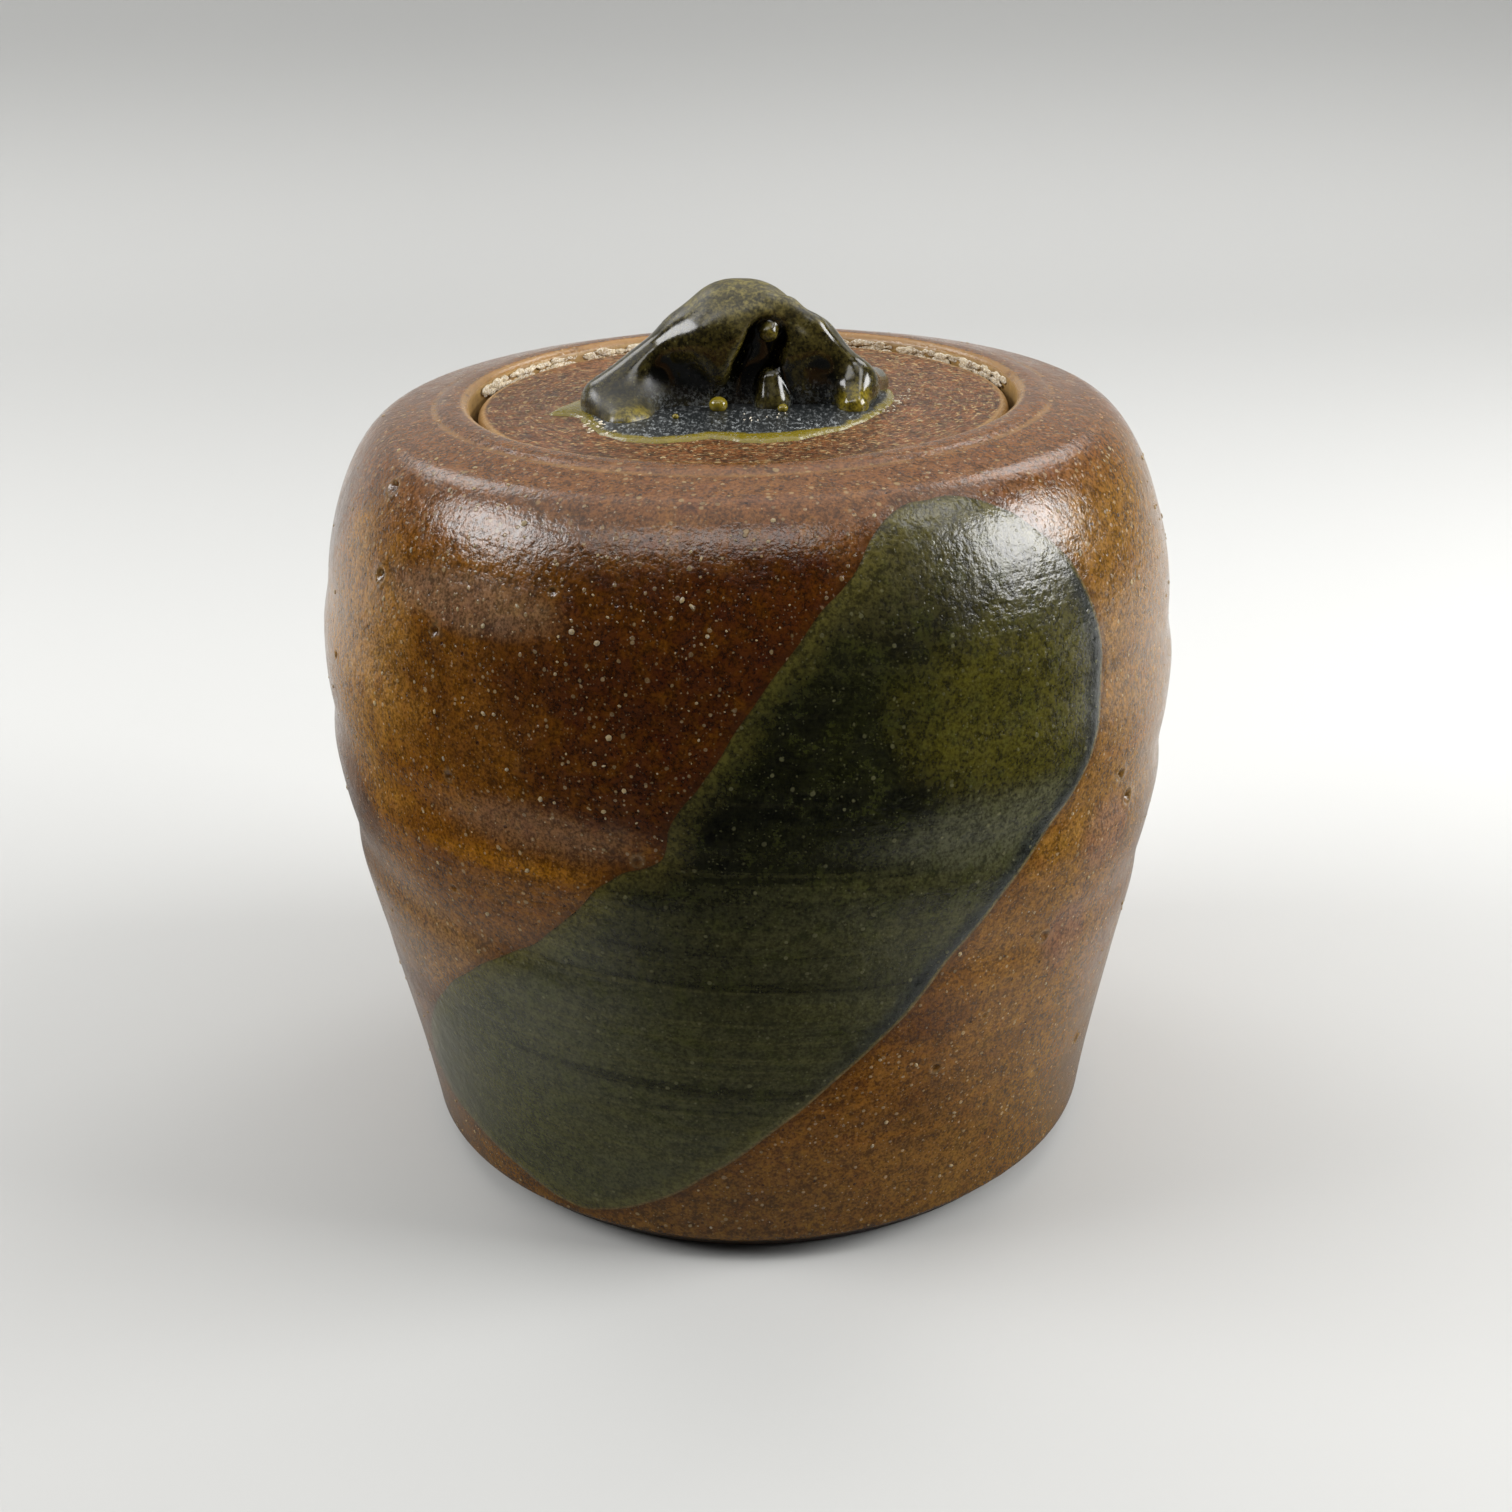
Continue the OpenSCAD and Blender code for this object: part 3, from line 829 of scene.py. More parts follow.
@node_tree("clay", "Pinched clay", GEOMETRY, "Geometry")
def pinched_clay(
    w, geometry=None, low=(-0.04, -0.03, 0), high=(0.04, 0.03, 0.03), blend=0.001, voxel=0.0005,
    uneven=0.0002, uneven_scale=130.0, soften=3, material=None,
):
    """Runs rolls of clay together, presses the thumb in and skins the lump."""

    def fused(rolls):
        total = 0.0
        for start, end, start_radius, end_radius in rolls:
            away = w.group(
                "roll", start=on_lid(*start), end=on_lid(*end), start_radius=start_radius * MM,
                end_radius=end_radius * MM,
            )[0]
            total = total + w.math("EXPONENT", away / (blend * -1.0))
        return total

    def distance(total):
        return w.math("LOGARITHM", total, math.e) * blend

    pressed = 1.0 / fused(KNOB_ROLLS) + fused(KNOB_PRESSES)
    lumps = 1.0 / fused(KNOB_LUMPS)
    away = w.math("SMOOTH_MIN", distance(pressed), distance(lumps), blend * 0.6)
    place = w.wire("GeometryNodeInputPosition")
    ripple = (w.noise(place, uneven_scale) - 0.5) * uneven
    steps = w.split(w.vector("DIVIDE", w.vector("SUBTRACT", high, low), voxel))
    lump = w.wire("GeometryNodeVolumeCube", {
        "Density": 1.0 - (away + ripple) / MM, "Background": 0.0, "Min": low, "Max": high,
        "Resolution X": steps[0], "Resolution Y": steps[1], "Resolution Z": steps[2],
    })
    skin = w.wire("GeometryNodeVolumeToMesh", {"Volume": lump, "Threshold": 1.0})
    soft = w.add("GeometryNodeBlurAttribute", {"Iterations": soften}, data_type="FLOAT_VECTOR")
    w.feed(next(socket for socket in soft.inputs if socket.enabled and socket.name == "Value"), place)
    blurred = Wire(w, next(socket for socket in soft.outputs if socket.enabled))
    settled = w.wire("GeometryNodeSetPosition", {"Geometry": skin, "Position": blurred})
    return ending(w, settled, material)


# Shader groups


@node_tree("compass", "Pot compass", SHADER, "Angle", "Height", "Radius", "Place")
def pot_compass(w):
    """Compass angle in degrees, height and radius in mm of the point on the pot."""
    place = w.place()
    x, y, z = w.split(place)
    angle = w.math("DEGREES", w.math("ARCTAN2", x, y * -1.0))
    return angle, z / MM, w.math("SQRT", x * x + y * y) / MM, place


@node_tree("specks", "Sand specks", SHADER, "Mask", "Tone")
def sand_specks(w, scale=700.0, amount=0.4, size=0.4):
    """Round specks of one size: a mask, and a random tone for each speck."""
    place = w.place()
    wander = w.wire("ShaderNodeTexNoise", {"Vector": place, "Scale": 900.0, "Detail": 1.0}, 1)
    place = w.vector("ADD", place, w.vector("MULTIPLY", wander, (0.0004, 0.0004, 0.0004)))
    cells = w.add("ShaderNodeTexVoronoi", {"Vector": place, "Scale": scale}).outputs
    chance, spread, tone = w.wires("ShaderNodeSeparateColor", {0: Wire(w, cells["Color"])})
    reach = size * (spread * 0.7 + 0.3)
    inside = w.span(Wire(w, cells["Distance"]), reach * 0.6, reach, 1.0, 0.0)
    return inside * w.math("LESS_THAN", chance, amount), tone


@node_tree("streaks", "Throwing streaks", SHADER, "Value")
def throwing_streaks(w, across=10.0, up=300.0, detail=3.0):
    """Lines that run round the pot along the throwing spiral."""
    x, y, z = w.split(w.place())
    climb = z + x * 0.06
    return [w.noise(w.join(x * across, y * across, climb * up), 1.0, detail, 0.55)]


@node_tree("mottle", "Kiln mottle", SHADER, "Cloud", "Fine")
def kiln_mottle(w, scale=40.0, contrast=1.5):
    """Cloudy kiln mottling in two sizes."""
    place = w.place()
    cloud = w.noise(place, scale, 5.0, 0.6, 0.6)
    fine = w.noise(place, scale * 7.0, 4.0, 0.65)
    return [w.math("ADD", (value - 0.5) * contrast, 0.5, clamp=True) for value in (cloud, fine)]


@node_tree("patch", "Kiln patch", SHADER, "Mask")
def kiln_patch(w, centre=(0, 0, 0), size=(0.02, 0.02, 0.02), ragged=0.5, scale=60.0):
    """A soft ragged patch round one point of the pot."""
    place = w.place()
    away = w.measure("LENGTH", w.vector("DIVIDE", w.vector("SUBTRACT", place, centre), size))
    torn = (w.noise(place, scale, 4.0, 0.6) - 0.5) * ragged
    return [w.span(away + torn, 0.45, 1.1, 1.0, 0.0)]


@node_tree("worn", "Worn ring", SHADER, "Mask")
def worn_ring(w, radius=50.0, width=0.8, wear=0.5):
    """A worn line round the pot at one radius, broken by wear."""
    _, _, at_radius, place = w.group("compass")
    off = w.math("ABSOLUTE", at_radius - radius)
    broken = w.span(w.noise(place, 90.0, 4.0, 0.7), wear - 0.15, wear + 0.1)
    return [w.span(off, width * 0.3, width, 1.0, 0.0) * broken]


@node_tree("grain", "Clay grain", SHADER, "Value", "Cool", "Warm", "Height")
def clay_grain(w, scale=1400.0, contrast=1.0):
    """Grain of a sandy clay: brightness, two hue masks and relief."""
    place = w.place()
    both = w.noise(place, scale, 2.0, 0.6) * 0.6 + w.noise(place, scale * 0.3, 3.0, 0.6) * 0.4
    swing = (w.span(both, 0.36, 0.64) - 0.5) * contrast
    cool = w.noise(place, scale * 0.11, 4.0, 0.65)
    warm = w.noise(w.vector("ADD", place, (0.31, 0.17, 0.05)), scale * 0.13, 4.0, 0.65)
    return swing + 1.0, w.span(cool, 0.5, 0.66), w.span(warm, 0.5, 0.66), both


@node_tree("peel", "Orange peel", SHADER, "Height")
def orange_peel(w, scale=700.0, coarse=0.4):
    """Height of the glaze's orange-peel surface."""
    place = w.place()
    return [w.noise(place, scale) + w.noise(place, scale * 0.2) * coarse]


# Materials


class Coat:
    """A colour built up in layers."""

    def __init__(self, w, colour):
        self.w, self.colour = w, colour

    def lay(self, mask, shade):
        """Covers the colour where the mask lies."""
        self.colour = self.w.mix(mask, self.colour, shade)

    def tint(self, mask, factor):
        """Multiplies the colour where the mask lies."""
        self.lay(mask, self.w.mix(1.0, self.colour, factor, "MULTIPLY"))

    def speckle(self, sand, *layers):
        """Lays specks: scale, amount, size and strength of each layer. Returns their summed mask."""
        total = 0.0
        for scale, amount, size, strength in layers:
            mask, tone = self.w.group("specks", scale=scale, amount=amount, size=size)
            mask = mask * strength
            self.lay(mask, self.w.mix(tone, times(sand, 0.45), sand))
            total = total + mask
        return total


def times(values, factor):
    """A colour or a size with each value multiplied by a factor."""
    return tuple(factor * value for value in values)


def new_material(name, colour):
    """A material with a plain colour for solid view, its wiring and its shader's inputs."""
    material = bpy.data.materials.new(name)
    material.use_nodes = True
    material.diffuse_color = (*colour, 1)
    return material, Wiring(material.node_tree), material.node_tree.nodes["Principled BSDF"].inputs


def surface(w, shader, colour, rough, relief, strength, distance=0.0003):
    """Feeds colour, roughness and relief to the shader."""
    bump = w.wire("ShaderNodeBump", {"Strength": strength, "Distance": distance, "Height": relief})
    for name, value in (("Base Color", colour), ("Roughness", rough), ("Normal", bump)):
        w.feed(shader[name], value)


def on_wall(form, angle, height):
    """Point in metres on the jar's wall at a compass angle and a height in mm."""
    radius = np.interp(height * MM, *outside_table(form))
    a = math.radians(angle)
    return (radius * math.sin(a), -radius * math.cos(a), height * MM)


def on_lid(x, y, z):
    """Point in metres from mm off the centre of the lid's top."""
    return (x * MM, y * MM, LID_TOP + z * MM)


def patch(w, centre, size, ragged, scale):
    """Mask of a soft ragged patch with its size in mm."""
    return w.group("patch", centre=centre, size=times(size, MM), ragged=ragged, scale=scale)[0]


def jar_material(form, finish):
    """Iron-brown stoneware: plum shoulder, chocolate band, golden sides, sand and throwing lines."""
    material, w, shader = new_material("iron_brown_stoneware", finish.clay)
    angle, height, radius, _ = w.group("compass")
    cloud, fine = w.group("mottle", scale=38.0, contrast=1.9)
    streak = w.group("streaks", across=9.0, up=170.0)[0]
    thread = w.group("streaks", across=14.0, up=900.0)[0]
    red = (0.55 * finish.clay[0], 0.50 * finish.clay[1], 0.45 * finish.clay[2])
    coat = Coat(w, w.mix(w.span(cloud, 0.2, 0.75), red, finish.clay))
    turn = angle + (cloud - 0.5) * 30.0
    gold = w.mix(fine, times(finish.clay_gold, 0.7), finish.clay_gold)
    coat.lay(w.span(turn, 15, 50) * w.span(turn, 178, 120), gold)
    coat.lay(w.span(height + cloud * 20.0, 60, 25, 0.0, 0.7), times(finish.clay_gold, 0.62))
    band = patch(w, on_wall(form, 1, 120), (57, 48, 37), 1.0, 55.0)
    coat.lay(band * w.span(fine, 0.2, 0.6, 0.7, 0.98), finish.clay_dark)
    ember = patch(w, on_wall(form, -40, 94), (26, 24, 13), 1.4, 60.0)
    coat.lay(ember * 0.6, (0.125, 0.042, 0.001))
    back_dark = patch(w, on_wall(form, 165, 104), (60, 50, 26), 1.1, 40.0)
    coat.lay(back_dark * 0.75, finish.clay_dark)
    shoulder = w.span(height + cloud * 12.0, 143, 155)
    coat.lay(shoulder, finish.clay_plum)
    coat.lay(w.span(streak, 0.56, 0.68) * w.span(height, 118, 88) * 0.4, times(finish.clay, 1.25))
    coat.lay(w.span(streak, 0.43, 0.33) * 0.3, times(finish.clay, 0.35))
    # Fire flashes, and the two bands of painted sheen on the upper and middle left wall
    for at_angle, at_height, size, ragged, strength, shade in FLASHES:
        coat.lay(patch(w, on_wall(form, at_angle, at_height), size, ragged, 48.0) * strength, shade)
    value, cool, warm, grit = w.group("grain", scale=1700.0, contrast=1.05)
    wild = w.span(band, 0.0, 1.0, 0.28, 0.6)
    coat.tint(cool * wild, (0.62, 0.40, 0.50))
    coat.tint(warm * wild, (1.40, 1.60, 1.2))
    coat.tint(1.0, value)
    sand = coat.speckle(
        finish.sand, (800.0, 0.32, 0.38, 0.55), (430.0, 0.2, 0.26, 0.5), (1700.0, 0.4, 0.4, 0.25)
    )
    fleck = w.group("specks", scale=560.0, amount=0.5, size=0.36)[0]
    coat.lay(fleck * shoulder * 0.55, times(finish.sand, 0.85))
    pinhole = w.group("specks", scale=520.0, amount=0.22, size=0.24)[0] * 0.7
    coat.lay(pinhole, times(finish.clay_dark, 0.3))
    edge = w.attribute("pour_edge")
    rust = w.span(edge, -2.2, -0.5) * w.span(edge, 0.6, 0.2)
    coat.lay(rust * 0.4, (0.050, 0.017, 0.003))
    coat.lay(w.attribute("pit_rim") * fine * 0.3, finish.sand)
    # Painted shade: the dark centre of each pit
    coat.lay(w.attribute("pit") * 0.9, times(finish.clay_dark, 0.2))
    mouth, lip_edge = form.mouth_radius / MM, (form.mouth_radius + form.lip_width) / MM
    on_top = w.span(height, 149.0, 150.0)
    lip = on_top * w.group("worn", radius=mouth + 0.6, width=1.4, wear=0.38)[0]
    groove = on_top * w.group("worn", radius=lip_edge + 0.6, width=0.9, wear=0.5)[0]
    coat.lay(w.math("MAXIMUM", lip, groove * 0.5) * 0.75, finish.clay_raw)
    inside_mouth = w.span(radius, mouth + 0.4, mouth + 0.1) * w.span(height, 134, 140)
    coat.lay(inside_mouth, w.mix(fine, (0.47, 0.29, 0.09), times(finish.clay_raw, 0.5)))
    # Painted shade: the foot's bevel, turned down out of the light, is painted near black
    foot = w.span(height + fine * 1.5, 6.0, 4.0)
    coat.lay(foot * 0.9, (0.016, 0.009, 0.005))
    rough = w.span(fine * 0.5 + grit * 0.5, 0.3, 0.7, 0.13, 0.26) + sand * 0.15
    rough = w.math("ADD", rough, w.math("MAXIMUM", foot, inside_mouth) * 0.35, clamp=True)
    peel = w.group("peel", scale=620.0, coarse=0.9)[0]
    relief = peel + (sand - pinhole) * 0.9 + thread * 0.4 + grit * 0.9
    surface(w, shader, coat.colour, rough, relief, 0.4)
    return material


def pour_material(form, finish):
    """Dark green ash glaze: black-green where it is thick, moss and olive where it is thin."""
    material, w, shader = new_material("green_ash_glaze", finish.green)
    depth, sag = w.attribute("depth"), w.attribute("sag")
    height = w.group("compass")[1]
    cloud, fine = w.group("mottle", scale=34.0, contrast=1.6)
    streak = w.group("streaks", across=10.0, up=200.0)[0]
    thread = w.group("streaks", across=16.0, up=750.0)[0]
    value, _, warm, grit = w.group("grain", scale=1500.0, contrast=1.15)
    mossy = w.mix(0.6, finish.green, times(finish.moss, 0.7))
    coat = Coat(w, w.mix(w.span(cloud, 0.3, 0.8), times(finish.green, 0.7), mossy))
    brushed = w.span(height, 100, 70)
    coat.lay(brushed * w.span(cloud, 0.1, 0.7, 0.6, 1.0), (0.046, 0.045, 0.0165))
    low = patch(w, on_wall(form, -40, 38), (60, 50, 44), 0.7, 40.0)
    coat.lay(low * 0.8, (0.053, 0.053, 0.0215))
    coat.lay(w.span(streak, 0.5, 0.68) * (brushed * 0.45 + 0.15), (0.055, 0.052, 0.0135))
    coat.lay(w.span(streak, 0.45, 0.33) * 0.55, finish.green)
    green_gold = patch(w, on_wall(form, 34, 113), (27, 27, 22), 0.9, 60.0)
    coat.lay(green_gold * 0.75, (0.060, 0.051, 0.0045))
    # Painted shade: two dark bands below throwing rings across the sash
    for ring_angle, ring_height, thick, strength in ((5, 102, 3.4, 0.7), (-3, 90, 3.0, 0.6)):
        ring = patch(w, on_wall(form, ring_angle, ring_height), (27, 20, thick), 0.5, 40.0)
        coat.lay(ring * strength, (0.004, 0.0045, 0.0018))
    # Painted reflection: a grey-green sheen band where a ring's lower side faces the floor
    sheen = patch(w, on_wall(form, 33, 92), (32, 28, 9), 0.6, 40.0)
    coat.lay(sheen * 0.7, (0.070, 0.070, 0.0360))
    coat.lay(w.span(height, 122, 146, 0.0, 0.8), (0.070, 0.060, 0.0175))
    coat.lay(w.span(thread, 0.52, 0.68) * (brushed * 0.4 + 0.08), (0.074, 0.069, 0.0220))
    coat.lay(warm * 0.35, times(finish.moss, 1.4))
    ragged_depth = depth + (fine - 0.5) * 4.0 + (cloud - 0.4) * 2.4
    fringe = w.span(ragged_depth, 6.5, 0.0) * w.span(sag, 0.2, 0.9, 0.55, 0.25)
    coat.lay(fringe, (0.088, 0.073, 0.0130))
    toe = w.span(height, 46, 28) * w.span(ragged_depth, 5.0, 0.0, 0.0, 0.6)
    coat.lay(toe, (0.098, 0.089, 0.0225))
    # The rolled bead along the lower edge: thick dark glaze, tinted blue as a painted reflection
    bead = w.span(ragged_depth, 6.2, 2.2) * w.span(depth, 0.5, 1.3) * sag * w.span(height, 30, 62)
    coat.lay(bead * 0.8, (0.013, 0.0170, 0.0200))
    coat.lay(w.span(depth, 0.45, 0.1, 0.0, 0.5), (0.035, 0.020, 0.005))
    coat.lay(w.span(depth, 0.8, 0.3) * sag * 0.6, (0.15, 0.092, 0.030))
    coat.tint(w.span(height, 105, 60, 1.0, 0.65), value)
    sand = coat.speckle((0.20, 0.19, 0.09), (600.0, 0.25, 0.34, 0.45), (1500.0, 0.3, 0.4, 0.25))
    peel = w.group("peel", scale=520.0, coarse=1.2)[0]
    relief = peel + thread * 0.5 + sand * 0.5 + grit * 0.7
    surface(w, shader, coat.colour, w.span(fine, 0.2, 0.9, 0.18, 0.27), relief, 0.5)
    return material


def lid_material(finish):
    """Plum-brown lid with turning lines, pale worn edge and sand."""
    material, w, shader = new_material("lid_stoneware", finish.clay_plum)
    angle, height, radius, place = w.group("compass")
    cloud, fine = w.group("mottle", scale=45.0, contrast=1.7)
    value, cool, warm, grit = w.group("grain", scale=1500.0, contrast=1.5)
    plum = (1.02 * finish.clay_plum[0], 0.95 * finish.clay_plum[1], 1.1 * finish.clay_plum[2])
    coat = Coat(w, w.mix(w.span(cloud, 0.3, 0.8), plum, times(plum, 0.7)))
    coat.lay(w.span(fine, 0.5, 0.85, 0.0, 0.3), finish.clay_gold)
    turned = w.noise(w.join(radius * 1.6, angle * 0.01), 1.0)
    coat.lay(w.span(turned, 0.55, 0.7, 0.0, 0.35), times(finish.clay_plum, 1.5))
    flecks = w.noise(w.join(radius * 1.2, angle * 0.28), 1.0, 3.0, 0.65)
    coat.lay(w.span(flecks, 0.54, 0.62, 0.0, 0.65), times(finish.sand, 0.8))
    # Painted shade: the lid darkens towards its front
    coat.tint(w.span(w.split(place)[1], -0.022, -0.046, 0.0, 0.3), (0.45, 0.42, 0.36))
    coat.lay(cool * 0.55, (0.075, 0.025, 0.009))
    coat.lay(warm * 0.15, times(finish.clay_gold, 0.8))
    coat.tint(1.0, value)
    sand = coat.speckle(
        finish.sand, (450.0, 0.4, 0.36, 0.75), (900.0, 0.45, 0.40, 0.8), (1900.0, 0.4, 0.42, 0.4)
    )
    edge = w.group("worn", radius=LID_HIGH.x / MM - 0.7, width=1.3, wear=0.34)[0]
    coat.lay(edge * 0.8, finish.clay_raw)
    under = w.span(height, LID_TOP / MM - 3.0, LID_TOP / MM - 4.5)
    coat.lay(under, w.mix(fine, finish.clay_raw, times(finish.clay_raw, 0.5)))
    rough = w.math("ADD", w.span(fine, 0.2, 0.9, 0.3, 0.42), sand * 0.15, clamp=True)
    shader["Specular IOR Level"].default_value = 0.24
    peel = w.group("peel", scale=650.0, coarse=0.6)[0]
    surface(w, shader, coat.colour, rough, peel + sand * 0.9 + (turned * 0.9 + grit), 0.5)
    return material


def knob_material(finish):
    """Thick glass-like glaze: black-green in the hollows, where pooled glaze is deepened by painted shade,
    olive brown where it thins over the clay.
    """
    material, w, shader = new_material("knob_glaze", finish.green)
    _, height, _, place = w.group("compass")
    breaking = w.attribute("breaking")
    cloud, fine = w.group("mottle", scale=110.0, contrast=1.8)
    value, _, _, grit = w.group("grain", scale=1600.0, contrast=1.3)
    lid_top = LID_TOP / MM

    def spot(at, size):
        return patch(w, on_lid(*at), size, 0.5, 150.0)

    thin = w.mix(w.span(fine, 0.3, 0.7), (0.020, 0.016, 0.004), (0.046, 0.037, 0.008))
    # Dark where glaze pools in the hollows, which also stands for their painted shade; olive where it breaks
    # over ridges
    shown = breaking + (cloud - 0.5) * 0.25
    coat = Coat(w, w.mix(w.span(shown, 0.38, 0.62), times(finish.green, 0.35), thin))
    # The crest: khaki olive glaze, lightened further as a painted sheen
    top = w.span(height + cloud * 6.0, lid_top + 17, lid_top + 24)
    coat.lay(top * 0.8, w.mix(w.span(fine, 0.35, 0.65), (0.055, 0.045, 0.012), (0.15, 0.122, 0.030)))
    coat.lay(w.span(breaking, 0.75, 1.0, 0.0, 0.5), (0.075, 0.062, 0.016))
    for at, size, strength in KNOB_SPOTS:
        coat.lay(spot(at, size) * strength, times(finish.olive, 0.6))
    coat.speckle((0.16, 0.15, 0.06), (1400.0, 0.3, 0.4, 0.5))
    coat.tint(1.0, value)
    foot = w.span(w.split(place)[1], -0.004, -0.008)
    foot = foot * w.span(height + fine * 3.0, lid_top + 8.0, lid_top + 2.0)
    for at, size in KNOB_CLEAR:
        foot = foot * (1.0 - spot(at, size))
    frost = foot * w.span(w.noise(place, 1300.0, 4.0, 0.8), 0.48, 0.58)
    coat.lay(frost * 0.8, (0.26, 0.28, 0.28))
    left_toe = spot((-20.5, -12.0, 2.5), (11, 10, 6))
    rough = w.span(fine, 0.2, 0.9, 0.11, 0.2) + foot * 0.2 + left_toe * 0.3
    rough = w.math("ADD", rough, top * 0.28, clamp=True)
    peel = w.group("peel", scale=330.0, coarse=1.5)[0]
    surface(w, shader, coat.colour, rough, peel + (top * 0.6 + frost) * grit, 0.13)
    return material


def pool_material(finish):
    """Glaze pool: grey matt crystals inside, a clear olive line at the edge."""
    material, w, shader = new_material("pool_glaze", finish.olive)
    cloud, fine = w.group("mottle", scale=130.0, contrast=1.6)
    place = w.place()
    x, y, _ = w.split(place)
    run = w.span(y, -0.023, -0.030) * w.span(x, -0.008, 0.004, 0.35, 1.0)
    tongue = w.span(x, -0.0265, -0.031, 0.0, 4.0)
    ragged = w.attribute("depth") + (cloud - 0.5) * 2.6 - run * 2.6 - tongue
    inner = w.span(ragged, 0.8, 1.9)
    edge = w.mix(fine, times(finish.olive, 0.45), times(finish.olive, 0.8))
    coat = Coat(w, w.mix(inner, edge, (0.012, 0.0145, 0.015)))
    run_out = w.vector("MULTIPLY", place, (1.0, 0.4, 1.0))
    frost = w.span(w.noise(run_out, 1300.0, 4.0, 0.8), 0.53, 0.61)
    coat.lay(frost * inner * w.span(cloud, 0.2, 0.7, 0.3, 0.9), (0.33, 0.35, 0.35))
    crystals = coat.speckle((0.42, 0.43, 0.42), (1500.0, 0.3, 0.4, 0.5), (2600.0, 0.4, 0.45, 0.4))
    rough = w.math("ADD", w.span(ragged, 0.9, 1.8, 0.12, 0.38), crystals * 0.3, clamp=True)
    peel = w.group("peel", scale=900.0, coarse=0.8)[0]
    surface(w, shader, coat.colour, rough, peel + crystals, 0.4)
    return material


def bead_material(finish):
    """Drops of clear olive glaze."""
    material, w, shader = new_material("glaze_bead", finish.olive)
    cloud, fine = w.group("mottle", scale=260.0, contrast=1.6)
    colour = w.mix(cloud, times(finish.olive, 0.5), finish.olive)
    peel = w.group("peel", scale=800.0)[0]
    surface(w, shader, colour, w.span(fine, 0.2, 0.9, 0.05, 0.12), peel, 0.1, 0.0002)
    return material


def wad_material(finish):
    """Broken wad clay, chalky and stained."""
    material, w, shader = new_material("kiln_wad_clay", finish.wad)
    cloud, fine = w.group("mottle", scale=420.0, contrast=2.2)
    coat = Coat(w, w.mix(cloud, times(finish.clay_raw, 0.55), finish.wad))
    coat.lay(w.span(fine, 0.4, 0.7, 0.0, 0.8), (0.88, 0.83, 0.72))
    peel = w.group("peel", scale=1500.0)[0]
    surface(w, shader, coat.colour, w.span(fine, 0.2, 0.9, 0.75, 0.95), peel, 0.5)
    return material


def sand_material(finish):
    """Half-melted sand grains, cream to grey."""
    material, w, shader = new_material("sand_grain", finish.sand)
    cloud, fine = w.group("mottle", scale=300.0, contrast=2.4)
    coat = Coat(w, w.mix(cloud, times(finish.sand, 0.5), finish.sand))
    coat.lay(w.span(fine, 0.6, 0.8), (0.33, 0.29, 0.21))
    w.feed(shader["Base Color"], coat.colour)
    w.feed(shader["Roughness"], w.span(cloud, 0.2, 0.9, 0.4, 0.7))
    return material


def paper_material(finish):
    """Pale matt paper under and behind the jar, dark to the glaze where the photograph's room is dark."""
    material, w, shader = new_material("studio_paper", finish.floor)
    _, height, radius, place = w.group("compass")
    across, ahead, _ = w.split(place)
    aside = w.math("ABSOLUTE", across)
    rays = w.add("ShaderNodeLightPath").outputs
    camera, glossy = Wire(w, rays["Is Camera Ray"]), Wire(w, rays["Is Glossy Ray"])
    cloud = w.group("mottle", scale=6.0, contrast=0.5)[0]
    coat = Coat(w, w.mix(cloud, times(finish.floor, 0.985), finish.floor))
    # Painted shade: the paper darkens to the left and towards the front
    coat.lay(w.span(across, 0.2, -0.25, 0.0, 0.05), BLACK)
    coat.lay(w.span(ahead, 0.3, -0.12, 0.0, 0.11), BLACK)
    # Painted shade: darker up the sweep (except in reflections far to the sides) and far ahead (except in
    # reflections)
    wide = glossy * w.span(aside, 0.5, 1.2)
    coat.lay(w.span(height, 10, 170, 0.0, 0.3) * (1.0 - wide), BLACK)
    coat.lay(w.span(ahead, 0.05, 0.75, 0.0, 0.21) * (1.0 - glossy), BLACK)
    near = w.span(radius, 72, 120, 0.35, 0.0)
    beside = w.span(aside, 0.03, 0.1) * w.span(radius, 100, 240, 0.75, 0.0)
    behind = w.span(ahead + across * 0.22, -0.03, 0.22, 0.0, 0.95)
    seen = w.math("MAXIMUM", w.math("MAXIMUM", near, beside), behind)
    coat.lay(glossy * (1.0 - seen), times(finish.floor, 0.02))
    w.feed(shader["Base Color"], coat.colour)
    # Painted light: the paper far ahead glows, seen by the camera only
    open_side = w.span(ahead, -0.5, -1.3) * camera
    w.feed(shader["Emission Color"], w.mix(open_side, BLACK, (0.5, 0.5, 0.488)))
    for name, value in (("Emission Strength", 1.0), ("Roughness", 1.0), ("Specular IOR Level", 0.0)):
        shader[name].default_value = value
    return material


# Pieces


def outside_curves(form):
    """Bezier points of the jar's wall and shoulder."""
    corner = (form.foot_radius + form.bevel_width, form.bevel_height)
    third = (form.belly_height - form.bevel_height) / 3
    rim_z = JAR_TOP - form.rim_drop
    lip_r = form.mouth_radius + form.lip_width
    slope = form.rim_drop / (form.rim_radius - lip_r)
    wall = [
        corner,
        (corner[0] + third * math.tan(form.wall_lean), corner[1] + third),
        (form.belly_radius, form.belly_height - third),
        (form.belly_radius, form.belly_height),
    ]
    shoulder = [
        wall[3],
        (form.belly_radius, form.belly_height + form.shoulder_rise),
        (form.rim_radius + form.shoulder_reach, rim_z - form.shoulder_reach * slope),
        (form.rim_radius, rim_z),
    ]
    return wall, shoulder


def outside_table(form):
    """Heights and radii of the jar's outside, for looking up a radius."""
    wall, shoulder = outside_curves(form)
    points = np.concatenate([[wall[0]], bezier(wall, 60), bezier(shoulder, 40)])
    return points[:, 1], points[:, 0]


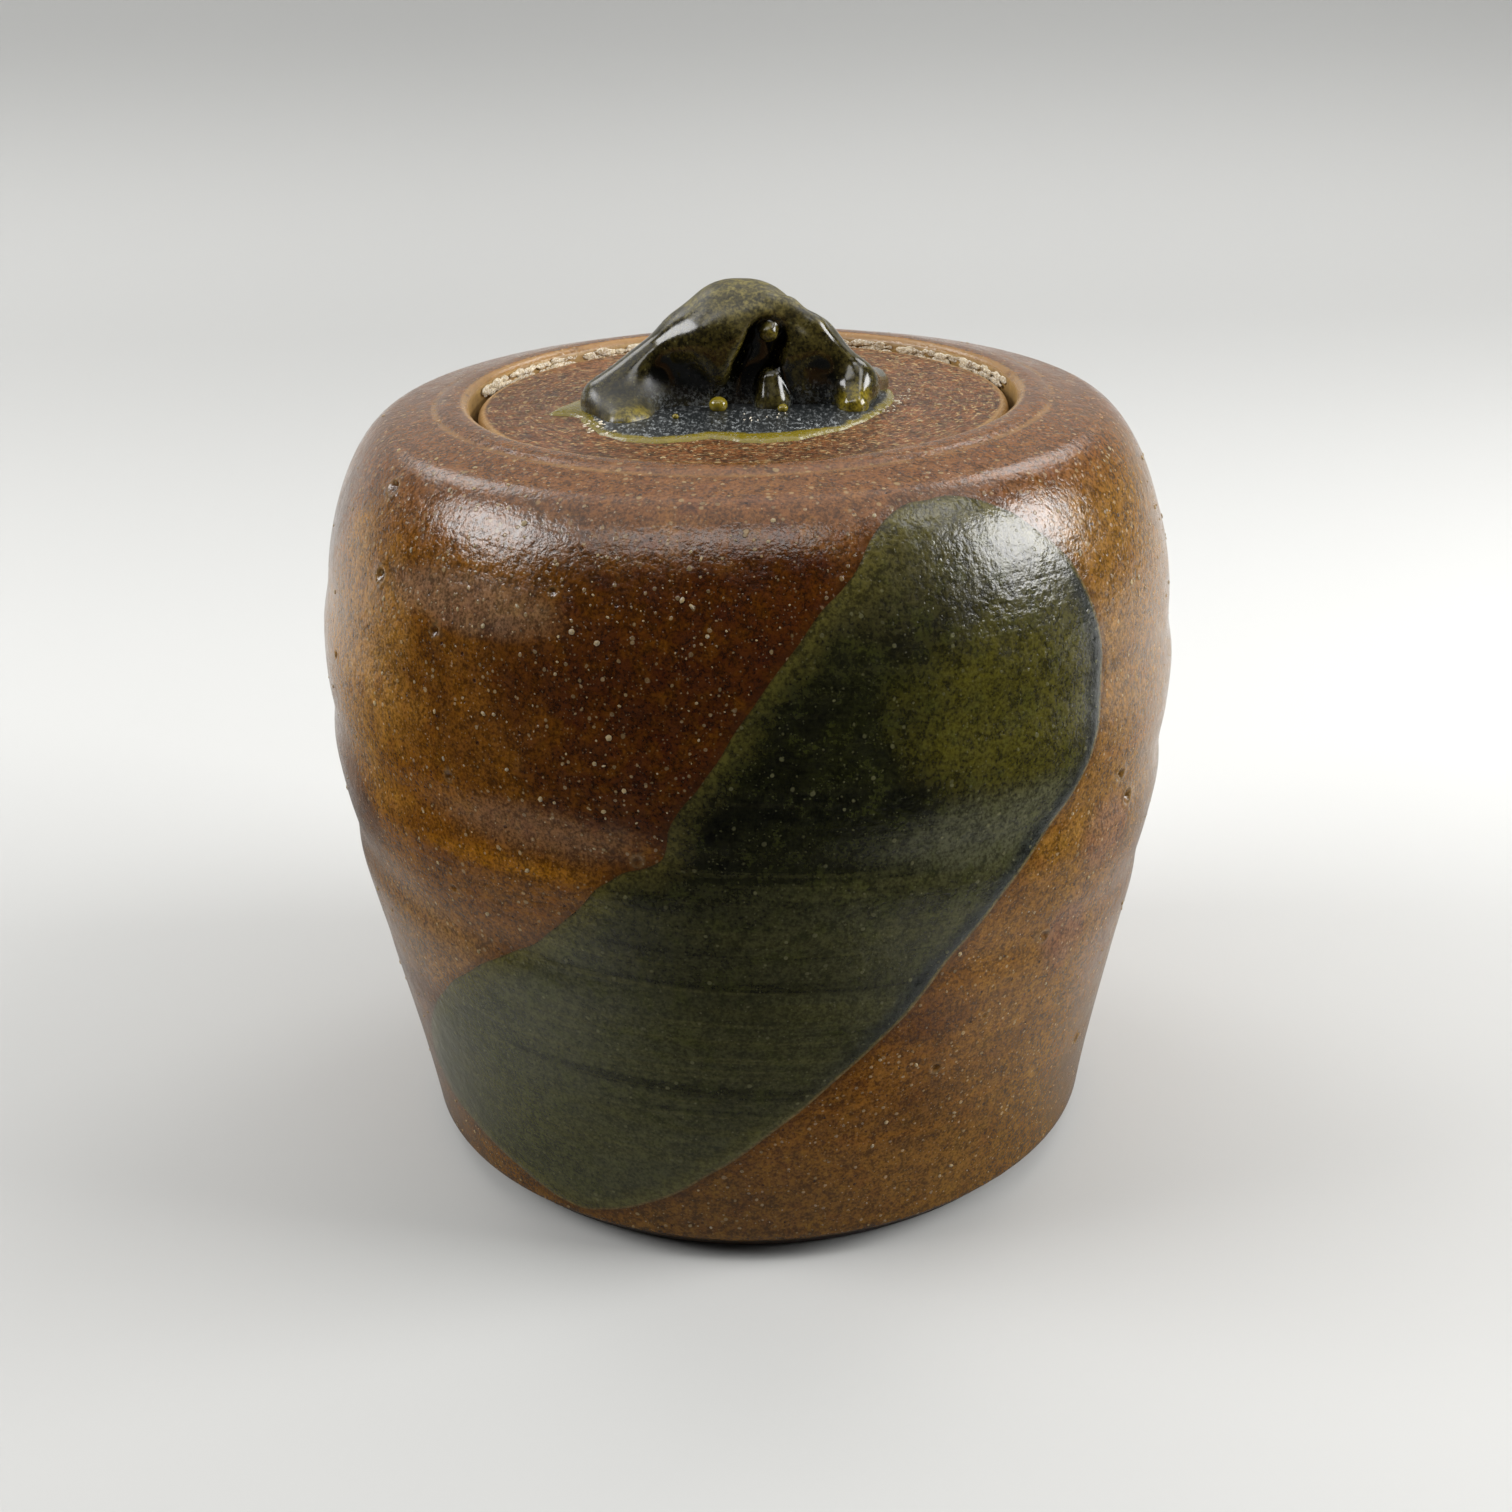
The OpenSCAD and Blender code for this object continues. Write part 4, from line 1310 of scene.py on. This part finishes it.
def jar_profile(form):
    """The jar's whole section, from under the foot round the lip to the middle of the floor."""
    wall, shoulder = outside_curves(form)
    inner_ring = form.foot_radius - form.foot_ring
    lip_r = form.mouth_radius + form.lip_width
    lip_top = JAR_TOP
    ledge_z = LID_LOW.z
    ledge_r = form.mouth_radius - form.ledge_width
    throat_z = ledge_z - form.ledge_thick
    floor_z = form.foot_hollow + form.floor
    inner_belly = form.belly_radius - form.wall
    inner_foot = form.foot_radius + form.bevel_width - form.wall
    sweep_z = floor_z + form.floor_sweep
    third = (form.belly_height - sweep_z) / 3
    soft = 1.5 * MM
    parts = [
        [(0, form.foot_hollow)],
        line((0, form.foot_hollow), (inner_ring - 2 * MM, form.foot_hollow), 8),
        line((inner_ring - 2 * MM, form.foot_hollow), (inner_ring, 0), 2),
        line((inner_ring, 0), (form.foot_radius - 0.6 * MM, 0), 4),
        line((form.foot_radius, 0.3 * MM), (wall[0][0] - 0.5 * MM, wall[0][1] - 0.5 * MM), 4),
        [wall[0]],
        bezier(wall, 88),
        bezier(shoulder, 44),
        line(shoulder[3], (lip_r + 0.9 * MM, lip_top - form.lip_groove), 5),
        [(lip_r + 0.2 * MM, lip_top - form.lip_groove), (lip_r - 0.6 * MM, lip_top - form.lip_groove * 0.35)],
        line((lip_r - 1.4 * MM, lip_top), (form.mouth_radius + form.lip_round + 0.4 * MM, lip_top), 2),
        arc((form.mouth_radius + form.lip_round, lip_top - form.lip_round), form.lip_round, 90, 180, 6),
        line((form.mouth_radius, lip_top - form.lip_round), (form.mouth_radius, ledge_z), 7),
        line((form.mouth_radius, ledge_z), (ledge_r + soft, ledge_z), 3),
        arc((ledge_r + soft, ledge_z - soft), soft, 90, 180, 4)[1:],
        line((ledge_r, ledge_z - soft), (ledge_r, throat_z), 3),
        bezier([(ledge_r, throat_z), (form.rim_radius - 2 * MM, throat_z + 2 * MM),
                (inner_belly, form.belly_height + form.shoulder_rise), (inner_belly, form.belly_height)], 18),
        bezier([(inner_belly, form.belly_height), (inner_belly, form.belly_height - third),
                (inner_foot + third * math.tan(form.wall_lean), sweep_z + third), (inner_foot, sweep_z)], 26),
        arc((inner_foot - form.floor_sweep, sweep_z), form.floor_sweep, 0, -90, 8)[1:],
        line((inner_foot - form.floor_sweep, floor_z), (0, floor_z), 8),
    ]
    return np.concatenate([np.array(part, float) for part in parts])


def wall_outline(form):
    """The glaze sash's outline unrolled at the belly's radius: metres round and metres up."""
    points = closed_spline(POUR_OUTLINE, 9)
    unrolled = np.stack([np.radians(points[:, 0]) * form.belly_radius, points[:, 1] * MM], 1)
    return unrolled + ragged_edge(len(unrolled), 0.35 * MM, 5)


def ragged_edge(count, amount, seed):
    """Small smooth random shifts for the points of a closed outline."""
    rng = np.random.default_rng(seed)
    shifts = rng.normal(0, 1, (count, 2))
    for _ in range(3):
        shifts = (np.roll(shifts, 1, 0) + 2 * shifts + np.roll(shifts, -1, 0)) / 4
    return shifts * amount


def unrolled_wall(points, form):
    """Where points of the wall lie on the unrolled sheet that the outline is drawn on."""
    angle = np.arctan2(points[:, 0], -points[:, 1])
    return np.stack([angle * form.belly_radius, points[:, 2]], 1)


def press_pits(piece, form):
    """Dents small pits into the wall, with a finer mesh round each."""
    pits = [(np.array(on_wall(form, angle, height)), size * MM) for angle, height, size in PITS]
    mesh = bmesh.new()
    mesh.from_mesh(piece.data)
    for _ in range(2):
        mesh.verts.index_update()
        points = np.array([vert.co for vert in mesh.verts])
        near = np.zeros(len(points), bool)
        for centre, size in pits:
            near |= np.linalg.norm(points - centre, axis=1) < max(2.2 * size, 2.5 * MM)
        edges = [edge for edge in mesh.edges if all(near[vert.index] for vert in edge.verts)]
        bmesh.ops.subdivide_edges(mesh, edges=edges, cuts=1, use_grid_fill=True)
    mesh.to_mesh(piece.data)
    mesh.free()
    points = coordinates(piece.data)
    for centre, size in pits:
        off = np.linalg.norm(points - centre, axis=1) / size
        dent = 0.8 * np.exp(-((off / 0.6) ** 2)) - 0.16 * np.exp(-(((off - 1.1) / 0.35) ** 2))
        inward = -centre * (1, 1, 0) / np.hypot(centre[0], centre[1])
        points += (dent * size * 0.7)[:, None] * inward
    set_coordinates(piece.data, points)
    piece.data.shade_smooth()
    # Per vertex: painted shade for the centre of each pit, and its pale rim
    hole, rim = np.zeros(len(points)), np.zeros(len(points))
    for centre, size in pits:
        off = np.linalg.norm(points - centre, axis=1) / size
        hole = np.maximum(hole, np.exp(-((off / 0.55) ** 2)))
        rim = np.maximum(rim, np.exp(-(((off - 1.0) / 0.3) ** 2)))
    store(piece.data, "pit", hole)
    store(piece.data, "pit_rim", rim)


class MIZUSASHI_OT_jar(Operator):
    """Throws the jar: a turned section with a throwing spiral, hand wobble and pits"""

    bl_idname = "mizusashi.jar"
    bl_label = "Jar"

    def execute(self, context):
        form = settings(context, "jar")
        material = jar_material(form, settings(context, "finish"))
        jar = new_piece("jar", *revolve(jar_profile(form), form.segments))
        grow(
            jar, "wall", ring_pitch=form.ring_pitch, ring_height=form.ring_height, ring_depth=form.ring_depth,
            ring_low=35 * MM, ring_high=form.belly_height, ring_fade=42 * MM, wobble=form.wobble,
            material=material,
        )
        press_pits(jar, form)
        points = coordinates(jar.data)
        edge = edge_distance(unrolled_wall(points, form), wall_outline(form)) / MM
        store(jar.data, "pour_edge", edge)
        store(jar.data, "bare", self.bare_clay(points, form) * (edge < -0.6))
        dress(jar, material, "jar", "iron_brown_stoneware", "jar_body")
        return {"FINISHED"}

    def bare_clay(self, points, form):
        """How thick sand lies on each point: only outside, above the foot, and in drifts."""
        x, y, z = points.T
        outer = np.hypot(x, y) > np.interp(z, *outside_table(form)) - 3 * MM
        above_foot = z > form.bevel_height + 2 * MM
        drifts = 0.22 + 0.12 * np.sin(x * 61 + 1.3) * np.sin(z * 83 + y * 40)
        for angle, height, reach in SAND_DRIFTS:
            away = np.linalg.norm(points - np.array(on_wall(form, angle, height)), axis=1) / (reach * MM)
            drifts = np.maximum(drifts, np.exp(-(away**2)))
        return outer * above_foot * drifts


class MIZUSASHI_OT_glaze_pour(Operator):
    """Pours the green sash: a skin on the wall, thin at its edge and rolled up where it ran"""

    bl_idname = "mizusashi.glaze_pour"
    bl_label = "Glaze Sash"

    def execute(self, context):
        form, glaze = settings(context, "jar"), settings(context, "glaze")
        outline = wall_outline(form)
        points, triangles, depth = filled_outline(outline, glaze.mesh_step, times(POUR_STEPS, MM))
        wall = BVHTree.FromObject(bpy.data.objects["jar"], context.evaluated_depsgraph_get())
        left, low = outline.min(0)
        width, rise = np.ptp(outline, 0)
        middle = low + (points[:, 0] - left) * (rise / width)
        sag = np.clip((middle - points[:, 1]) / (15 * MM), 0, 1)
        d = depth / MM
        rolled = np.exp(-(((d - 1.9) / 1.2) ** 2)) * (1 - np.exp(-d / 0.4))
        thick = glaze.pour_thick * (1 - np.exp(-d / 3.5)) + glaze.pour_roll * sag * rolled
        top, bottom = np.empty((len(points), 3)), np.empty((len(points), 3))
        for i, (round_wall, height) in enumerate(points):
            a = round_wall / form.belly_radius
            outward = Vector((math.sin(a), -math.cos(a), 0))
            far = outward * form.belly_radius * 2
            hit, normal, _, _ = wall.ray_cast(far + Vector((0, 0, height)), -outward)
            if hit is None:
                raise RuntimeError("The glaze sash misses the jar's wall")
            top[i] = hit + normal * (thick[i] + SKIN_LIFT)
            bottom[i] = hit - normal * SKIN_SINK
        pour = closed_skin("green_glaze_sash", top, bottom, triangles, depth)
        store(pour.data, "sag", np.concatenate([sag, sag[depth >= ON_EDGE]]))
        material = pour_material(form, settings(context, "finish"))
        dress(pour, material, "jar", "green_ash_glaze", "green_glaze_pour")
        return {"FINISHED"}


class MIZUSASHI_OT_wad_scars(Operator):
    """Breaks crumbs of wad clay along the back of the mouth's wall"""

    bl_idname = "mizusashi.wad_scars"
    bl_label = "Kiln Wad Scars"

    def execute(self, context):
        radius = settings(context, "jar").mouth_radius - 0.15 * MM
        lines = []
        for row, drop in enumerate(SCAR_DROPS):
            for start, end in SCAR_SPANS:
                angles = np.radians(np.linspace(start + row, end - row, 24))
                height = JAR_TOP - drop * MM
                lines.append([(radius * math.sin(a), -radius * math.cos(a), height) for a in angles])
        scars = new_wire("wad_scars", lines)
        material = wad_material(settings(context, "finish"))
        grow(
            scars, "crumbs", spacing=1.4 * MM, crumb=0.9 * MM, flatten=(0.45, 0.95, 2.3), scatter=0.3 * MM,
            roughness=0.3 * MM, seed=11, material=material,
        )
        dress(scars, material, "jar", "kiln_wad_clay", "kiln_wad_scars")
        return {"FINISHED"}


class MIZUSASHI_OT_lid(Operator):
    """Turns the lid: a flat disc with soft edges and a hollow underside"""

    bl_idname = "mizusashi.lid"
    bl_label = "Lid"

    def execute(self, context):
        material = lid_material(settings(context, "finish"))
        radius, low, high = LID_HIGH.x, LID_LOW.z, LID_TOP
        soft, hollow, hollow_z = 1.6 * MM, 34 * MM, low + 2 * MM
        profile = np.concatenate([
            [(0, hollow_z)],
            line((0, hollow_z), (hollow, hollow_z), 10),
            line((hollow, hollow_z), (hollow + 2 * MM, low), 2),
            line((hollow + 2 * MM, low), (radius - soft, low), 5),
            line((radius - soft, low), (radius, low + soft), 2),
            line((radius, low + soft), (radius, high - soft), 4),
            arc((radius - soft, high - soft), soft, 0, 90, 6)[1:],
            line((radius - soft, high), (0, high), 40),
        ])
        lid = new_piece("lid_disc", *revolve(profile, 240))
        grow(lid, "wall", ring_depth=0.0, wobble=0.35 * MM, wobble_scale=16.0, seed=5.0, material=material)
        x, y, z = coordinates(lid.data).T
        store(lid.data, "bare", (z > high - 1 * MM) * (np.hypot(x, y) > 4 * MM) * 0.8)
        dress(lid, material, "lid", "lid_stoneware", "lid")
        return {"FINISHED"}


def convexity(mesh, rounds):
    """How far each vertex stands out from its neighbours, from 0 in a hollow to 1 on a ridge."""
    points = coordinates(mesh)
    a, b = edge_ends(mesh).T
    count = np.bincount(np.concatenate([a, b]), minlength=len(points))[:, None]

    def neighbours(values):
        total = np.zeros_like(values)
        np.add.at(total, a, values[b])
        np.add.at(total, b, values[a])
        return total / count

    smooth = points
    for _ in range(rounds):
        smooth = neighbours(smooth)
    normals = np.empty(len(points) * 3)
    mesh.vertices.foreach_get("normal", normals)
    out = ((points - smooth) * normals.reshape(-1, 3)).sum(1)
    return np.clip(0.5 + out / (2.5 * out.std()) / 2, 0, 1)


class MIZUSASHI_OT_knob(Operator):
    """Pinches the knob: an arch of clay with toes, a thumb hollow and folds, fused and softened"""

    bl_idname = "mizusashi.knob"
    bl_label = "Knob"

    def execute(self, context):
        form = settings(context, "knob")
        material = knob_material(settings(context, "finish"))
        knob = new_piece("pinched_knob", [], [])
        grow(
            knob, "clay", low=on_lid(-36, -26, -4), high=on_lid(36, 22, 27), blend=form.blend,
            voxel=form.voxel, uneven=form.uneven, soften=form.soften, material=material,
        )
        points = coordinates(knob.data)
        points[:, 2] = np.maximum(points[:, 2], LID_TOP - SKIN_SINK)
        set_coordinates(knob.data, points)
        knob.data.shade_smooth()
        # Convexity drives the glaze's breaking colour and the painted shade in the knob's hollows
        store(knob.data, "breaking", convexity(knob.data, 40))
        dress(knob, material, "lid", "knob_glaze", "lid_knob")
        return {"FINISHED"}


class MIZUSASHI_OT_glaze_pool(Operator):
    """Runs the glaze off the knob into a pool, with beads and dusty crumbs at its edge"""

    bl_idname = "mizusashi.glaze_pool"
    bl_label = "Glaze Pool"

    def execute(self, context):
        glaze, finish = settings(context, "glaze"), settings(context, "finish")
        outline = closed_spline([times(point, MM) for point in POOL_OUTLINE], 12)
        outline = outline + ragged_edge(len(outline), 0.35 * MM, 9)
        points, triangles, depth = filled_outline(outline, glaze.mesh_step, times(POOL_STEPS, MM))
        thick = glaze.pool_thick * (1 - np.exp(-depth / MM))
        top = np.column_stack([points, LID_TOP + thick + SKIN_LIFT])
        bottom = np.column_stack([points, np.full(len(points), LID_TOP - SKIN_SINK)])
        pool = closed_skin("knob_pool", top, bottom, triangles, depth)
        dress(pool, pool_material(finish), "lid", "pool_glaze", "knob_glaze_pool")
        mesh = bmesh.new()
        for x, y, radius in BEADS:
            at = Vector(on_lid(x, y, glaze.pool_thick / MM + radius * 0.6))
            squash = Matrix.Diagonal((radius * MM, radius * MM, 0.85 * radius * MM, 1))
            bmesh.ops.create_icosphere(mesh, subdivisions=4, radius=1, matrix=Matrix.Translation(at) @ squash)
        beads = new_piece("glaze_beads", [], [])
        mesh.to_mesh(beads.data)
        mesh.free()
        beads.data.shade_smooth()
        dress(beads, bead_material(finish), "lid", "pool_glaze")
        crumbs = new_wire("foot_crumbs", [[on_lid(x, y, 0.1) for x, y in points] for points in CRUMB_LINES])
        material = bpy.data.materials["kiln_wad_clay"]
        grow(
            crumbs, "crumbs", spacing=0.22 * MM, crumb=0.34 * MM, flatten=(1.3, 0.6, 0.4), scatter=1.7 * MM,
            roughness=0.3 * MM, seed=23, material=material,
        )
        dress(crumbs, material, "lid", "kiln_wad_clay")
        return {"FINISHED"}


class MIZUSASHI_OT_sand(Operator):
    """Strews half-melted sand grains over the bare clay of jar and lid"""

    bl_idname = "mizusashi.sand"
    bl_label = "Sand Grains"

    def execute(self, context):
        material = sand_material(settings(context, "finish"))
        for clay, body, density, slot in (
            ("jar", "jar", 42000.0, "iron_brown_stoneware"), ("lid_disc", "lid", 45000.0, "lid_stoneware"),
        ):
            grains = bpy.data.objects.new("sand_on_" + body, bpy.data.objects[clay].data.copy())
            context.scene.collection.objects.link(grains)
            grow(grains, "sand", density=density, grain=0.66 * MM, flatness=0.4, seed=7, material=material)
            grains.data.shade_flat()
            dress(grains, material, body, slot)
        return {"FINISHED"}


class MIZUSASHI_OT_stage(Operator):
    """Sets the pale paper sweep, the soft lights and the camera"""

    bl_idname = "mizusashi.stage"
    bl_label = "Stage"

    def execute(self, context):
        scene = context.scene
        self.set_paper(settings(context, "finish"))
        self.set_lamps(scene)
        self.set_camera(scene)
        scene.view_settings.view_transform = "Standard"
        return {"FINISHED"}

    def set_paper(self, finish):
        """Paper that lies under the jar and sweeps up behind it."""
        half, front, back, sweep, height, gap = 3.0, -2.5, 0.8, 0.6, 4.0, 0.1 * MM
        section = [(front, 0), (back, 0)]
        for a in np.radians(range(6, 91, 6)):
            section.append((back + sweep * math.sin(a), sweep - sweep * math.cos(a)))
        section.append((back + sweep, height))
        verts = [(side * half, y, z - gap) for y, z in section for side in (-1, 1)]
        faces = [(2 * i, 2 * i + 1, 2 * i + 3, 2 * i + 2) for i in range(len(section) - 1)]
        paper = new_piece("paper_sweep", verts, faces)
        paper.data.materials.append(paper_material(finish))
        paper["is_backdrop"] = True

    def set_lamps(self, scene):
        """Soft lamps and a faint sky. The reflector shows only in the glaze's reflections."""
        for name, (place, aim, size, power) in LAMPS.items():
            lamp = bpy.data.lights.new(name, "AREA")
            lamp.shape = "RECTANGLE"
            lamp.size, lamp.size_y = size
            lamp.energy = power
            light = bpy.data.objects.new(name, lamp)
            light.location = place
            light.rotation_euler = (Vector(aim) - Vector(place)).to_track_quat("-Z", "Y").to_euler()
            light.visible_diffuse = name != REFLECTOR
            scene.collection.objects.link(light)
        world = scene.world = bpy.data.worlds.new("Studio")
        world.use_nodes = True
        w = Wiring(world.node_tree)
        background = world.node_tree.nodes["Background"].inputs
        camera_ray = w.wire("ShaderNodeLightPath", output="Is Camera Ray")
        w.feed(background["Color"], (1, 1, 0.985))
        w.feed(background["Strength"], w.span(camera_ray, 0.0, 1.0, 0.035, 0.5))

    def set_camera(self, scene):
        """Camera at the photograph's place, looking down on the lid, with a slight roll."""
        eye = (0, -0.3784, 0.2412)
        focal_px, frame_px, sensor = 1991, 1512, 36.0
        pitch, yaw, roll = (math.radians(d) for d in (23.75, 0.14, -1.35))
        ahead = Vector((math.sin(yaw) * math.cos(pitch), math.cos(yaw) * math.cos(pitch), -math.sin(pitch)))
        right = Vector((math.cos(yaw), -math.sin(yaw), 0))
        up = right.cross(ahead)
        right, up = (
            right * math.cos(roll) + up * math.sin(roll), up * math.cos(roll) - right * math.sin(roll),
        )
        lens = bpy.data.cameras.new("Camera")
        lens.sensor_width = sensor
        lens.lens = sensor * focal_px / frame_px
        lens.clip_start = 0.01
        camera = bpy.data.objects.new("Camera", lens)
        turned = Matrix((right, up, -ahead)).transposed().to_4x4()
        camera.matrix_world = Matrix.Translation(eye) @ turned
        scene.collection.objects.link(camera)
        scene.camera = camera


class MIZUSASHI_PT_panel(Panel):
    """Lists the pieces of the jar"""

    bl_label = "Mizusashi"
    bl_idname = "MIZUSASHI_PT_panel"
    bl_space_type = "VIEW_3D"
    bl_region_type = "UI"
    bl_category = "Mizusashi"

    def draw(self, context):
        for operator in OPERATORS:
            self.layout.operator(operator.bl_idname)
        for group in PROPERTY_GROUPS:
            values = settings(context, group)
            box = self.layout.box()
            for name in values.__annotations__:
                box.prop(values, name)


OPERATORS = (
    MIZUSASHI_OT_jar, MIZUSASHI_OT_glaze_pour, MIZUSASHI_OT_wad_scars, MIZUSASHI_OT_lid, MIZUSASHI_OT_knob,
    MIZUSASHI_OT_glaze_pool, MIZUSASHI_OT_sand, MIZUSASHI_OT_stage,
)


def register():
    for cls in (*PROPERTY_GROUPS.values(), *OPERATORS, MIZUSASHI_PT_panel):
        bpy.utils.register_class(cls)
    for name, cls in PROPERTY_GROUPS.items():
        setattr(bpy.types.Scene, "mizusashi_" + name, PointerProperty(type=cls))


def unregister():
    for name in PROPERTY_GROUPS:
        delattr(bpy.types.Scene, "mizusashi_" + name)
    for cls in reversed((*PROPERTY_GROUPS.values(), *OPERATORS, MIZUSASHI_PT_panel)):
        bpy.utils.unregister_class(cls)


def main():
    register()
    bpy.ops.mizusashi.jar()
    bpy.ops.mizusashi.glaze_pour()
    bpy.ops.mizusashi.wad_scars()
    bpy.ops.mizusashi.lid()
    bpy.ops.mizusashi.knob()
    bpy.ops.mizusashi.glaze_pool()
    bpy.ops.mizusashi.sand()
    bpy.ops.mizusashi.stage()
    boxes = {"cad": CAD_BOX, "visual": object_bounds()}


if __name__ == "__main__":
    main()
